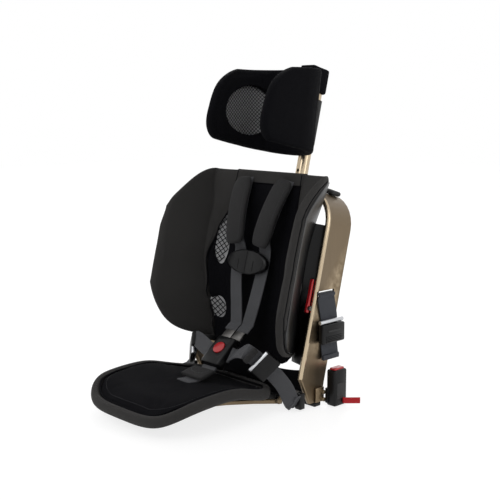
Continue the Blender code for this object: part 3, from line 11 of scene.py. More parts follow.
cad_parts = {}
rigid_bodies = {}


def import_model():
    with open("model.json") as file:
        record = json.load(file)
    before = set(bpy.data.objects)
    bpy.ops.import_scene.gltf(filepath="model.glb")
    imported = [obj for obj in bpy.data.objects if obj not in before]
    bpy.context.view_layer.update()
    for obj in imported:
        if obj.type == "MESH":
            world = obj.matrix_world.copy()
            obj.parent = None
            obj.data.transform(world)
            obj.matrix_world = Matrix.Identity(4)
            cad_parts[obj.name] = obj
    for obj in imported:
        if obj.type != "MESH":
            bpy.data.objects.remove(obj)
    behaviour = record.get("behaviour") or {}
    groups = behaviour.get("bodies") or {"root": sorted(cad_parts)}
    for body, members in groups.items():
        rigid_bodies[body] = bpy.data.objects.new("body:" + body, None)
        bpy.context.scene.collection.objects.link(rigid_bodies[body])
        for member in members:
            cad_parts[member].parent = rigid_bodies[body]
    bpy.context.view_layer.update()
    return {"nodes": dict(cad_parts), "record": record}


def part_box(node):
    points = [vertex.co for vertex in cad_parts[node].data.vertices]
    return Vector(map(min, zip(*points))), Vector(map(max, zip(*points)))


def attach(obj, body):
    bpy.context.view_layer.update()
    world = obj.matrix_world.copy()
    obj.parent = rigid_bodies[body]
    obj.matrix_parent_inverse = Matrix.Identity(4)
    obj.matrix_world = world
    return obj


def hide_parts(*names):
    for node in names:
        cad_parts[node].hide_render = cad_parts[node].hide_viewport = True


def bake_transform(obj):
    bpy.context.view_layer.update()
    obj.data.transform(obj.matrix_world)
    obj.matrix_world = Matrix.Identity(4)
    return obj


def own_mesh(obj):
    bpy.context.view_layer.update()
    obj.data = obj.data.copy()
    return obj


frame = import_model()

SCENE = bpy.context.scene
SIDES = (("left", 1), ("right", -1))
ACROSS = Vector((1, 0, 0))
CLEAR = 0.0003

LEAN = math.radians(14.1)
UP_BACK = Vector((0, math.sin(LEAN), math.cos(LEAN)))
BEHIND_BACK = Vector((0, math.cos(LEAN), -math.sin(LEAN)))
BACK_BOTTOM, BACK_TOP = 0.060, 0.430
HEAD_LEAN, HEAD_SWEEP = math.radians(8), math.radians(5.4)
HEAD_HEIGHT, HEAD_RADIUS = 0.1735, 0.086
HEAD_ARM, HEAD_TIP = 0.108, 0.080
HEAD_WINDOW_AHEAD, HEAD_WINDOW_BEHIND, HEAD_WINDOW_HEIGHT = 0.0740, 0.0450, 0.0490
VENT_X, VENT_HALF_WIDTH = 0.102, 0.017
VENTS = (("upper", 0.294, 0.058), ("lower", 0.150, 0.022))
NET_PITCH, NET_STRAND = 0.0052, 0.0017
WEB_THICKNESS = 0.0022
BUCKLE_MIDDLE = Vector((0, -0.075, 0.092))
BUCKLE_PITCH = math.radians(40)
BUCKLE_UP = Vector((0, math.cos(BUCKLE_PITCH), math.sin(BUCKLE_PITCH)))
BUCKLE_FACE = Vector((0, -math.sin(BUCKLE_PITCH), math.cos(BUCKLE_PITCH)))
BUCKLE_WIDTH, BUCKLE_LENGTH, TONGUE_LENGTH = 0.050, 0.066, 0.020
YOKE_DEPTH = 0.0501

COLOURS = {
    "bronze": (0.185, 0.138, 0.086),
    # Paler bronze: the headrest pole, the rubbed edges of the bronze, and a painted highlight on the hoop's
    # front bead.
    "pale bronze and painted highlight": (0.520, 0.420, 0.290),
    "knit": (0.0026, 0.0026, 0.0040),
    "wing cloth": (0.0340, 0.0325, 0.0315),
    "pad cloth": (0.0260, 0.0255, 0.0260),
    "webbing": (0.0560, 0.0570, 0.0620),
    "latch webbing": (0.0260, 0.0290, 0.0370),
    "black plastic": (0.0030, 0.0030, 0.0034),
    "silver": (0.560, 0.570, 0.590),
    "red": (0.470, 0.0065, 0.0120),
    "rubber": (0.0110, 0.0110, 0.0115),
    "steel": (0.110, 0.105, 0.100),
    # Pale sheet behind the open nets: painted light standing in for the bright surround seen through them,
    # made paler against the shade of the recess.
    "pale painted-light backing": (0.600, 0.600, 0.610),
}


def lean(x, d, s):
    """Place given across, behind the hoop's middle plane and up along the lean of the back."""
    return ACROSS * x + BEHIND_BACK * d + UP_BACK * s


def even(low, high, count):
    return [low + (high - low) * i / count for i in range(count + 1)]


def eased(value, low, high):
    t = min(max((value - low) / (high - low), 0), 1)
    return t * t * (3 - 2 * t)


def shares_at(rows, place):
    """Value of a smooth table of (place, value) rows."""
    for (a, first), (b, second) in zip(rows, rows[1:]):
        if place <= b:
            return first + (second - first) * eased(place, a, b)
    return rows[-1][1]


ROOT_HALF_WIDTH, ROOT_DEPTH = 0.130, 0.064
ROOT_WIDTH_SHARES = ((0.0, 0.84), (0.16, 0.86), (0.5, 1.0), (0.75, 1.03), (1.0, 1.15))
ROOT_DEPTH_SHARES = ((0.0, 0.30), (0.16, 0.44), (0.36, 0.80), (0.56, 1.0), (0.86, 0.87), (1.0, 0.87))


def back_share(s):
    return (s - BACK_BOTTOM) / (BACK_TOP - BACK_BOTTOM)


def back_depth(x, s):
    """Depth of the back cover's front face, between the wings."""
    v = back_share(s)
    middle = -0.040 * shares_at(((0.0, -0.05), (0.16, 0.30), (0.5, 1.0), (1.0, 1.0)), v)
    middle += (-YOKE_DEPTH - middle) * eased(s, 0.300, 0.376)
    root = -ROOT_DEPTH * shares_at(ROOT_DEPTH_SHARES, v)
    width = ROOT_HALF_WIDTH * shares_at(ROOT_WIDTH_SHARES, v)
    return middle + (root - middle) * min(abs(x) / width, 1) ** 4


def wing_point(side, r, v, depth):
    """Point of a wing: r runs from root to edge, v from bottom to top, depth from the inner face out."""
    r *= 1 - 0.05 * eased(v, 0.72, 1) ** 2
    low, high = 0.0875 + 0.088 * r**5.8, BACK_TOP - 0.098 * r**1.95 - 0.012 * eased(r, 0.86, 1)
    s = low + (high - low) * v
    t = back_share(s)
    x0 = ROOT_HALF_WIDTH * shares_at(ROOT_WIDTH_SHARES, t)
    d0 = -ROOT_DEPTH * shares_at(ROOT_DEPTH_SHARES, t)
    x1, d1, x2, d2 = x0 + 0.016, d0 - 0.038, 0.1795, -0.152
    x = (1 - r) ** 2 * x0 + 2 * r * (1 - r) * x1 + r * r * x2
    d = (1 - r) ** 2 * d0 + 2 * r * (1 - r) * d1 + r * r * d2
    out = (Vector((d1 - d2, x2 - x1)).normalized() * r + Vector((0, 1)) * (1 - r)).normalized()
    return lean(side * (x + out.x * depth), d + out.y * depth, s)


HEAD_FOOT = lean(0, 0.0196, 0.473)


def head_point(x, back, up):
    """Place given across, behind the rear of the headrest and up along its own lean."""
    return HEAD_FOOT + Vector((x, up * math.sin(HEAD_LEAN) + back * math.cos(HEAD_LEAN),
                               up * math.cos(HEAD_LEAN) - back * math.sin(HEAD_LEAN)))


HEAD_WINDOW = head_point(0, -0.0715, 0.0820)


def head_span(back):
    """Lowest and highest points of the headrest at a depth."""
    return -back * math.tan(HEAD_SWEEP), HEAD_HEIGHT + back * math.tan(HEAD_LEAN)


def head_arm(v):
    return HEAD_ARM * (1 - 0.27 * v - 0.42 * v**8 - 0.28 * (1 - v) ** 8)


def head_wall(w, v, inset):
    """Point of the headrest's wrap: w runs from tip to tip over the rear, v from bottom to top."""
    side, r, radius = (1 if w >= 0 else -1), abs(w), HEAD_RADIUS - inset
    if r <= 0.6:
        angle = math.pi / 2 * r / 0.6
        x, back = radius * math.sin(angle), radius * math.cos(angle) - HEAD_RADIUS
    else:
        u = (r - 0.6) / 0.4
        x, back = radius - (HEAD_RADIUS - HEAD_TIP) * u * u, -HEAD_RADIUS - head_arm(v) * u
    low, high = head_span(back)
    return head_point(side * x, back, low + (high - low) * v)


def head_side(side, y, z, inset):
    """Point of the headrest's arm over a place in the side view."""
    dy, dz = y - HEAD_FOOT.y, z - HEAD_FOOT.z
    up = dy * math.sin(HEAD_LEAN) + dz * math.cos(HEAD_LEAN)
    back = dy * math.cos(HEAD_LEAN) - dz * math.sin(HEAD_LEAN)
    ahead = -HEAD_RADIUS - back
    if ahead > 0:
        low, high = head_span(back)
        length = head_arm(min(max((up - low) / (high - low), 0), 1))
        x = HEAD_RADIUS - inset - (HEAD_RADIUS - HEAD_TIP) * (ahead / length) ** 2
    else:
        x = math.sqrt((HEAD_RADIUS - inset) ** 2 - ahead * ahead)
    return Vector((side * x, y, z))


def directions(points):
    last = len(points) - 1
    return [(points[min(i + 1, last)] - points[max(i - 1, 0)]).normalized() for i in range(last + 1)]


def smooth_run(points, steps=4):
    """Points on one smooth curve through the given ones."""
    points = [Vector(p) for p in points]
    run = []
    for i in range(len(points) - 1):
        before, start = points[max(i - 1, 0)], points[i]
        end, after = points[i + 1], points[min(i + 2, len(points) - 1)]
        span = (end - start).length
        pull_start = (end - before) * span / (span + (start - before).length)
        pull_end = (after - start) * span / (span + (after - end).length)
        for k in range(steps):
            t = k / steps
            run.append(start * (2 * t**3 - 3 * t * t + 1) + pull_start * (t**3 - 2 * t * t + t)
                       + end * (3 * t * t - 2 * t**3) + pull_end * (t**3 - t * t))
    return run + [points[-1]]


def add_node(tree, kind, inputs=None, **settings):
    """A node with its settings made and its inputs given a value or wired."""
    node = tree.nodes.new(kind)
    for name, value in settings.items():
        setattr(node, name, value)
    for key, value in (inputs or {}).items():
        if isinstance(value, bpy.types.NodeSocket):
            tree.links.new(value, node.inputs[key])
        else:
            node.inputs[key].default_value = value
    return node


def maths(tree, operation, first, second=0.0, third=0.0, clamp=False):
    return add_node(tree, "ShaderNodeMath", {0: first, 1: second, 2: third}, operation=operation,
                    use_clamp=clamp).outputs[0]


def new_group(name, inputs, outputs):
    """An empty node group with named sockets, and its input and output nodes."""
    group = bpy.data.node_groups.new(name, "ShaderNodeTree")
    for socket, kind, value in inputs:
        made = group.interface.new_socket(name=socket, in_out="INPUT", socket_type=kind)
        if value is not None:
            made.default_value = value
    for socket, kind in outputs:
        group.interface.new_socket(name=socket, in_out="OUTPUT", socket_type=kind)
    return group, group.nodes.new("NodeGroupInput"), group.nodes.new("NodeGroupOutput")


FLOAT, VECTOR = "NodeSocketFloat", "NodeSocketVector"


def make_loops_group():
    """Fine knitted or woven cells that show on a surface turned any way."""
    inputs = (("Vector", VECTOR, None), ("Cells per metre", FLOAT, 500.0))
    group, given, out = new_group("cloth cells", inputs,
                                  (("Height", FLOAT),))
    scaled = add_node(group, "ShaderNodeVectorMath", {0: given.outputs[0], "Scale": given.outputs[1]},
                      operation="SCALE").outputs[0]
    turned = add_node(group, "ShaderNodeVectorMath", {0: scaled, "Scale": math.tau}, operation="SCALE")
    turned = turned.outputs[0]
    parts = add_node(group, "ShaderNodeSeparateXYZ", {0: turned}).outputs
    waves = [(maths(group, "SINE", part), maths(group, "COSINE", part)) for part in parts]
    sums = [maths(group, "MULTIPLY", waves[a][0], waves[b][1]) for a, b in ((0, 1), (1, 2), (2, 0))]
    total = maths(group, "ADD", maths(group, "ADD", sums[0], sums[1]), sums[2])
    group.links.new(maths(group, "MULTIPLY_ADD", total, 0.33, 0.5), out.inputs[0])
    return group


def make_mottle_group():
    """Slow cloudy change over a surface, with finer grain in it."""
    group, given, out = new_group(
        "mottle", (("Vector", VECTOR, None), ("Cloud scale", FLOAT, 12.0), ("Grain scale", FLOAT, 900.0)),
        (("Cloud", FLOAT), ("Grain", FLOAT)))
    cloud = add_node(group, "ShaderNodeTexNoise",
                     {"Vector": given.outputs[0], "Scale": given.outputs[1], "Detail": 3.0})
    grain = add_node(group, "ShaderNodeTexNoise",
                     {"Vector": given.outputs[0], "Scale": given.outputs[2], "Detail": 1.0})
    group.links.new(cloud.outputs[0], out.inputs[0])
    group.links.new(grain.outputs[0], out.inputs[1])
    return group


def make_wear_group():
    """Rubbed edges: a mask that is 1 on sharp outer edges, broken up by a noise."""
    inputs = (("Vector", VECTOR, None), ("Amount", FLOAT, 0.5))
    group, given, out = new_group("rubbed edges", inputs, (("Mask", FLOAT),))
    pointed = add_node(group, "ShaderNodeNewGeometry").outputs["Pointiness"]
    edge = maths(group, "MULTIPLY_ADD", pointed, 14.0, -7.35, clamp=True)
    broken = add_node(group, "ShaderNodeTexNoise",
                      {"Vector": given.outputs[0], "Scale": 70.0, "Detail": 4.0}).outputs[0]
    rough = maths(group, "MULTIPLY_ADD", broken, 3.0, -1.0, clamp=True)
    mask = maths(group, "MULTIPLY", maths(group, "MULTIPLY", edge, rough), given.outputs[1])
    group.links.new(mask, out.inputs[0])
    return group


GROUPS = {"cells": make_loops_group(), "mottle": make_mottle_group(), "wear": make_wear_group()}


def placed_group(tree, name, inputs):
    node = add_node(tree, "ShaderNodeGroup", node_tree=GROUPS[name])
    for key, value in inputs.items():
        if isinstance(value, bpy.types.NodeSocket):
            tree.links.new(value, node.inputs[key])
        else:
            node.inputs[key].default_value = value
    return node


def blended(tree, share, first, second):
    """Colour between two: each is a plain colour or a socket."""
    mix = add_node(tree, "ShaderNodeMix", data_type="RGBA")
    for socket, value in zip([s for s in mix.inputs if s.type == "RGBA"], (first, second)):
        if isinstance(value, bpy.types.NodeSocket):
            tree.links.new(value, socket)
        else:
            socket.default_value = (*value[:3], 1)
    tree.links.new(share, mix.inputs[0])
    return next(s for s in mix.outputs if s.type == "RGBA")


def shade(colour, factor):
    return tuple(min(c * factor, 1) for c in colour)


def start_material(name, **plain):
    """A material with its Principled shader and its Object coordinates."""
    made = bpy.data.materials.new(name)
    made.use_nodes = True
    tree = made.node_tree
    shader = next(n for n in tree.nodes if n.type == "BSDF_PRINCIPLED")
    for socket, value in plain.items():
        shader.inputs[socket.replace("_", " ")].default_value = value
    made.diffuse_color = (*COLOURS.get(name, (0.5, 0.5, 0.5)), 1)
    return made, tree, shader, tree.nodes.new("ShaderNodeTexCoord").outputs


def bump(tree, shader, height, distance, strength=1.0):
    node = add_node(tree, "ShaderNodeBump", {"Height": height, "Distance": distance, "Strength": strength})
    tree.links.new(node.outputs[0], shader.inputs["Normal"])


def cloth_material(name, colour, cells, relief, roughness, sheen, cloud=0.25, fold=0.0, gloss=0.25):
    """Covers: fine cells, slow changes of tone, a soft sheen."""
    made, tree, shader, coords = start_material(name, Sheen_Weight=sheen, Sheen_Roughness=0.45, IOR=1.42)
    shader.inputs["Sheen Tint"].default_value = (*shade(colour, 6), 1)
    shader.inputs["Specular IOR Level"].default_value = gloss
    where = coords["Object"]
    height = placed_group(tree, "cells", {"Vector": where, "Cells per metre": cells}).outputs[0]
    mottle = placed_group(tree, "mottle", {"Vector": where, "Cloud scale": 14.0, "Grain scale": 420.0})
    tone = maths(tree, "MULTIPLY_ADD", mottle.outputs[0], 2 * cloud, 0.5 - cloud, clamp=True)
    base = blended(tree, tone, shade(colour, 1 - cloud), shade(colour, 1 + cloud))
    # Where the cells sink in, the colour darkens towards 45 % of itself: painted shade in the hollows of the
    # weave.
    painted_hollow_shade = maths(tree, "MULTIPLY", height, 0.55, clamp=True)
    tree.links.new(blended(tree, painted_hollow_shade, base, shade(colour, 0.45)), shader.inputs["Base Color"])
    rough = maths(tree, "MULTIPLY_ADD", mottle.outputs[1], 0.16, roughness - 0.08)
    tree.links.new(rough, shader.inputs["Roughness"])
    drape = maths(tree, "MULTIPLY", mottle.outputs[0], fold)
    bump(tree, shader, maths(tree, "MULTIPLY_ADD", height, -1.0, drape), relief)
    return made


def webbing_material(name, colour, ribs=520.0):
    """Webbing along its own map: ribs across and a fine diagonal twill."""
    made, tree, shader, coords = start_material(name, Sheen_Weight=0.25, Sheen_Roughness=0.4, IOR=1.45)
    shader.inputs["Sheen Tint"].default_value = (*shade(colour, 5), 1)
    across, along = add_node(tree, "ShaderNodeSeparateXYZ", {0: coords["UV"]}).outputs[:2]
    rib = maths(tree, "MULTIPLY_ADD",
                maths(tree, "SINE", maths(tree, "MULTIPLY", along, ribs * math.tau)), 0.5, 0.5)
    diagonal = maths(tree, "MULTIPLY_ADD", along, 0.6, across)
    twill = maths(tree, "MULTIPLY_ADD",
                  maths(tree, "SINE", maths(tree, "MULTIPLY", diagonal, 900 * math.tau)), 0.5, 0.5)
    weave = maths(tree, "MULTIPLY", rib, twill)
    mottle = placed_group(tree, "mottle",
                          {"Vector": coords["Object"], "Cloud scale": 30.0, "Grain scale": 700.0})
    base = blended(tree, mottle.outputs[0], shade(colour, 0.78), shade(colour, 1.25))
    # Where the weave sinks in, the colour darkens towards half of itself: painted shade in its dents.
    tree.links.new(blended(tree, maths(tree, "MULTIPLY", weave, 0.5), base, shade(colour, 0.5)),
                   shader.inputs["Base Color"])
    tree.links.new(maths(tree, "MULTIPLY_ADD", mottle.outputs[1], 0.2, 0.55), shader.inputs["Roughness"])
    bump(tree, shader, weave, -0.0004)
    return made


def moulded_material(name, colour, roughness, worn=0.35, coat=0.0, grain=1400.0, relief=0.00006, gloss=0.5):
    """Moulded parts: fine spark grain, uneven gloss and rubbed, paler edges."""
    made, tree, shader, coords = start_material(name, Coat_Weight=coat, Coat_Roughness=0.15, IOR=1.49,
                                               Specular_IOR_Level=gloss)
    where = coords["Object"]
    mottle = placed_group(tree, "mottle", {"Vector": where, "Cloud scale": 25.0, "Grain scale": grain})
    wear = placed_group(tree, "wear", {"Vector": where, "Amount": worn}).outputs[0]
    base = blended(tree, mottle.outputs[0], shade(colour, 0.82), shade(colour, 1.18))
    pale = tuple(c * 0.75 + 0.10 * max(colour) + 0.012 for c in colour)
    tree.links.new(blended(tree, wear, base, pale), shader.inputs["Base Color"])
    rough = maths(tree, "MULTIPLY_ADD", mottle.outputs[0], 0.18, roughness - 0.09)
    tree.links.new(maths(tree, "MULTIPLY_ADD", wear, -0.12, rough), shader.inputs["Roughness"])
    bump(tree, shader, mottle.outputs[1], relief)
    return made


def metal_material(name, colour, roughness, rubbed, stretch=(1, 1, 0.04), worn=0.6, streak=0.16):
    """Bare or anodised metal: drawn streaks along it, cloudy gloss and brighter rubbed edges."""
    made, tree, shader, coords = start_material(name, Metallic=1.0)
    where = coords["Object"]
    drawn = add_node(tree, "ShaderNodeMapping", {"Vector": where, "Scale": stretch}).outputs[0]
    lines = add_node(tree, "ShaderNodeTexNoise", {"Vector": drawn, "Scale": 900.0, "Detail": 3.0}).outputs[0]
    mottle = placed_group(tree, "mottle", {"Vector": where, "Cloud scale": 9.0, "Grain scale": 1600.0})
    wear = placed_group(tree, "wear", {"Vector": where, "Amount": worn}).outputs[0]
    base = blended(tree, lines, shade(colour, 1 - streak), shade(colour, 1 + streak))
    tree.links.new(blended(tree, wear, base, rubbed), shader.inputs["Base Color"])
    rough = maths(tree, "MULTIPLY_ADD", mottle.outputs[0], 0.14, roughness - 0.07)
    tree.links.new(maths(tree, "MULTIPLY_ADD", wear, -0.12, rough), shader.inputs["Roughness"])
    bump(tree, shader, maths(tree, "MULTIPLY_ADD", lines, 0.6, mottle.outputs[1]), 0.00003)
    return made


FINISHES = {
    "bronze": metal_material("bronze", COLOURS["bronze"], 0.40, COLOURS["pale bronze and painted highlight"]),
    "pale bronze and painted highlight": metal_material("pale bronze and painted highlight", COLOURS["pale bronze and painted highlight"], 0.26, (0.80, 0.70, 0.55),
                                    worn=0.3),
    "knit": cloth_material("knit", COLOURS["knit"], 560.0, 0.0007, 0.90, 0.05, 0.30, 0.5, 0.12),
    "wing cloth": cloth_material("wing cloth", COLOURS["wing cloth"], 900.0, 0.00035, 0.78, 0.20, 0.12),
    "pad cloth": cloth_material("pad cloth", COLOURS["pad cloth"], 800.0, 0.0004, 0.76, 0.25, 0.15),
    "net": cloth_material("net", shade(COLOURS["knit"], 1.6), 1200.0, 0.0002, 0.7, 0.05),
    "pale painted-light backing": cloth_material("pale painted-light backing", COLOURS["pale painted-light backing"], 700.0, 0.0004, 0.85, 0.1),
    "thread": cloth_material("thread", (0.075, 0.076, 0.080), 2400.0, 0.0001, 0.6, 0.3),
    "webbing": webbing_material("webbing", COLOURS["webbing"]),
    "latch webbing": webbing_material("latch webbing", COLOURS["latch webbing"]),
    "red tape": webbing_material("red tape", COLOURS["red"], 800.0),
    "black plastic": moulded_material("black plastic", COLOURS["black plastic"], 0.34, 0.30, gloss=0.22),
    "red": moulded_material("red", COLOURS["red"], 0.34, 0.2, 0.35, 1800.0, 0.00003),
    "rubber": moulded_material("rubber", COLOURS["rubber"], 0.70, 0.25, 0.0, 700.0, 0.00012),
    "silver": metal_material("silver", COLOURS["silver"], 0.38, (0.78, 0.78, 0.80), (0.05, 0.05, 1),
                             0.4, 0.10),
    "steel": metal_material("steel", COLOURS["steel"], 0.42, (0.42, 0.41, 0.40), (1, 1, 1), 0.5, 0.12),
}


def finish_piece(piece, finish, body, *nodes, crease=None):
    """Gives a piece its finish and the body it rides on, and hides the nodes it stands for; a piece given a
    pair of bodies and points is attached to neither, its place only baked into its mesh.
    """
    piece.data.materials.clear()
    piece.data.materials.append(FINISHES[finish])
    for face in piece.data.polygons:
        face.use_smooth = True
        face.material_index = 0
    if crease:
        piece.data.set_sharp_from_angle(angle=math.radians(crease))
    if isinstance(body, tuple):
        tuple(body[2])
        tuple(body[3])
        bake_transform(piece)
    else:
        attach(piece, body)
    if nodes:
        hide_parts(*nodes)
    return piece


def from_bmesh(name, bm):
    mesh = bpy.data.meshes.new(name)
    bm.to_mesh(mesh)
    bm.free()
    piece = bpy.data.objects.new(name, mesh)
    SCENE.collection.objects.link(piece)
    return piece


def solid_copy(name, node, tidy=True):
    """A merged copy of a node's mesh, as a new piece."""
    bm = bmesh.new()
    bm.from_mesh(frame["nodes"][node].data)
    bmesh.ops.remove_doubles(bm, verts=bm.verts, dist=1e-5)
    if tidy:
        bmesh.ops.dissolve_limit(bm, angle_limit=math.radians(0.5), verts=bm.verts, edges=bm.edges)
    else:
        bmesh.ops.join_triangles(bm, faces=bm.faces, angle_face_threshold=math.radians(40),
                                 angle_shape_threshold=math.radians(60))
    return from_bmesh(name, bm)


def body_of(node):
    return next(body for body, nodes in frame["record"]["behaviour"]["bodies"].items() if node in nodes)


def settle(piece):
    """Makes the piece's modifiers part of its mesh."""
    seen = piece.evaluated_get(bpy.context.evaluated_depsgraph_get())
    mesh = bpy.data.meshes.new_from_object(seen)
    piece.modifiers.clear()
    piece.data = mesh


def refined(node, finish, width=0.0006, segments=2, angle=28, crease=35):
    """Stands for a rigid node: the same form with its edges rounded off."""
    piece = solid_copy(node + "_form", node)
    if width:
        edge = piece.modifiers.new("rounded edges", "BEVEL")
        edge.width = width
        edge.segments = segments
        edge.limit_method = "ANGLE"
        edge.angle_limit = math.radians(angle)
        edge.harden_normals = False
        settle(piece)
    return finish_piece(piece, finish, body_of(node), node, crease=crease)


def neighbours_of(*own):
    """Search tree over every node but these."""
    verts, faces = [], []
    for name, node in frame["nodes"].items():
        if name not in own:
            first = len(verts)
            verts += [v.co.copy() for v in node.data.vertices]
            faces += [[first + i for i in face.vertices] for face in node.data.polygons]
    return BVHTree.FromPolygons(verts, faces)


def swell(piece, pressure, cap, neighbours):
    """Fills the cover by cloth simulation, holds each point to a cap and clear of what lies next to it."""
    start = [v.co.copy() for v in piece.data.vertices]
    fill = piece.modifiers.new("fill", "CLOTH")
    cloth = fill.settings
    cloth.quality = 5
    cloth.mass = 0.3
    cloth.tension_stiffness = cloth.compression_stiffness = 15
    cloth.shear_stiffness = 5
    cloth.bending_stiffness = 0.5
    cloth.use_pressure = True
    cloth.uniform_pressure_force = pressure
    cloth.effector_weights.gravity = 0
    fill.collision_settings.use_collision = False
    fill.point_cache.frame_start = 1
    fill.point_cache.frame_end = 20
    for step in range(1, 21):
        SCENE.frame_set(step)
    seen = piece.evaluated_get(bpy.context.evaluated_depsgraph_get())
    moved = [v.co.copy() for v in seen.data.vertices]
    piece.modifiers.clear()
    SCENE.frame_set(1)
    for vertex, low, high in zip(piece.data.vertices, start, moved):
        push = high - low
        if push.length < 1e-7:
            continue
        reach = min(push.length, cap)
        way = push.normalized()
        hit = neighbours.ray_cast(low, way, reach + 2 * CLEAR)
        if hit[0] is not None:
            reach = max(hit[3] - 2 * CLEAR, 0)
        vertex.co = low + way * reach
    piece.data.update()


def relax(piece, rounds, factor=0.5):
    bm = bmesh.new()
    bm.from_mesh(piece.data)
    for _ in range(rounds):
        bmesh.ops.smooth_vert(bm, verts=bm.verts, factor=factor,
                              use_axis_x=True, use_axis_y=True, use_axis_z=True)
    bm.to_mesh(piece.data)
    bm.free()


def spaced(length, count, edge=0.010):
    """Shares of a length, closer together near both ends."""
    near = [edge / length * t for t in (0, 0.05, 0.18, 0.40, 0.70)]
    return near + even(edge / length, 1 - edge / length, count) + [1 - t for t in reversed(near)]


def quilt(name, place, columns, rows, size, thickness, edge, sharp=(0, 0, 0, 0)):
    """A closed pad laid over a form: two even grids that meet in rounded edges.

    place gives the point for two shares and a depth below the face; sharp gives a smaller edge for the
    start and end of the columns and of the rows.
    """
    def rounded(share, length, first, last):
        near = min(share * length / (first or edge), (1 - share) * length / (last or edge), 1)
        return math.sqrt(max(1 - (1 - near) ** 2, 0))

    bm = bmesh.new()
    for face in (-1, 1):
        grid = bmesh.ops.create_grid(bm, x_segments=len(columns) - 1, y_segments=len(rows) - 1, size=1)
        made = grid["verts"]
        for vertex in made:
            u = columns[round((vertex.co.x + 1) / 2 * (len(columns) - 1))]
            v = rows[round((vertex.co.y + 1) / 2 * (len(rows) - 1))]
            full = rounded(u, size[0], *sharp[:2]) * rounded(v, size[1], *sharp[2:])
            vertex.co = place(u, v, thickness / 2 * (1 + face * full))
    bmesh.ops.remove_doubles(bm, verts=bm.verts, dist=2e-6)
    bmesh.ops.recalc_face_normals(bm, faces=bm.faces)
    return from_bmesh(name, bm)


def soft_cover(piece, finish, body, nodes, cap=0.002, pressure=4.0, fill=0.5, lines=(), levels=1, own=()):
    swell(piece, pressure, cap, neighbours_of(*nodes, *own))
    finer = piece.modifiers.new("finer", "SUBSURF")
    finer.levels = finer.render_levels = levels
    settle(piece)
    for line, width, depth in lines:
        press_seam(piece, line, width, depth)
    finish_piece(piece, finish, body, *nodes)
    return piece


def smooth_cover(node, finish, levels=2, push=0.0006, body=None, **rest):
    """A soft cover with the node's own form, rounded by subdivision."""
    piece = solid_copy(node + "_cover", node, tidy=False)
    first = piece.modifiers.new("smooth", "SUBSURF")
    first.levels = first.render_levels = levels - 1
    settle(piece)
    piece.data.update()
    for vertex, normal in [(v, v.normal.copy()) for v in piece.data.vertices]:
        vertex.co += normal * push
    return soft_cover(piece, finish, body or body_of(node), [node], **rest)


def cover(node, finish, voxel=0.004, rounds=3, pressure=4.0, cap=0.004, lines=(), name=None):
    """A soft cover in the space of a node: even mesh, filled, with seams pressed into it."""
    piece = solid_copy(name or node + "_cover", node)
    remesh = piece.modifiers.new("even", "REMESH")
    remesh.mode = "VOXEL"
    remesh.voxel_size = voxel
    settle(piece)
    relax(piece, rounds)
    swell(piece, pressure, cap, neighbours_of(node))
    relax(piece, 1)
    finer = piece.modifiers.new("finer", "SUBSURF")
    finer.levels = finer.render_levels = 1
    settle(piece)
    for line, width, depth in lines:
        press_seam(piece, line, width, depth)
    finish_piece(piece, finish, body_of(node), node)
    return piece


def dense(line, gap=0.001):
    """Points along a line about a given gap apart."""
    made = []
    for a, b in zip(line, line[1:]):
        count = max(int((b - a).length / gap), 1)
        made += [a.lerp(b, i / count) for i in range(count)]
    return made + [line[-1]]


def press_seam(piece, line, width, depth):
    """Draws the cover in along a line."""
    points = dense(line)
    tree = KDTree(len(points))
    for i, point in enumerate(points):
        tree.insert(point, i)
    tree.balance()
    shifts = []
    for vertex in piece.data.vertices:
        distance = tree.find(vertex.co)[2]
        if distance < width:
            shifts.append((vertex, vertex.normal * depth * (1 - (distance / width) ** 2) ** 2))
    for vertex, shift in shifts:
        vertex.co -= shift
    piece.data.update()


def traced(piece, line, lift=0.0):
    """The line laid on a piece's surface, and the surface's direction there."""
    tree = BVHTree.FromObject(piece, bpy.context.evaluated_depsgraph_get())
    points, normals = [], []
    for point in line:
        spot, normal = tree.find_nearest(point)[:2]
        points.append(spot + normal * lift)
        normals.append(normal)
    return points, normals


def stitches(name, body, lines, pitch=0.0034, length=0.0024, radius=0.00032, finish="thread"):
    """Rows of sewn stitches along lines of points."""
    bm = bmesh.new()
    for line in lines:
        points = dense(line, pitch)
        for a, b in zip(points, points[1:]):
            along = (b - a).normalized()
            turn = along.to_track_quat("Z", "X").to_matrix().to_4x4()
            size = Matrix.Diagonal((radius, radius, length / 2, 1))
            bmesh.ops.create_uvsphere(bm, u_segments=6, v_segments=4, radius=1,
                                      matrix=Matrix.Translation((a + b) / 2) @ turn @ size)
    return finish_piece(from_bmesh(name, bm), finish, body)


def piping(name, body, line, radius, finish, closed=False):
    """A round cord sewn into a seam: a ring carried along the line."""
    bm = bmesh.new()
    rings = []
    for point, along in zip(line, directions(line)):
        turn = along.to_track_quat("Z", "X").to_matrix().to_4x4()
        made = bmesh.ops.create_circle(bm, segments=8, radius=radius, matrix=Matrix.Translation(point) @ turn)
        rings.append([e for e in {edge for v in made["verts"] for edge in v.link_edges}])
    for first, second in zip(rings, rings[1:] + (rings[:1] if closed else [])):
        bmesh.ops.bridge_loops(bm, edges=first + second)
    bmesh.ops.holes_fill(bm, edges=[e for e in bm.edges if e.is_boundary], sides=8)
    bmesh.ops.recalc_face_normals(bm, faces=bm.faces)
    return finish_piece(from_bmesh(name, bm), finish, body)


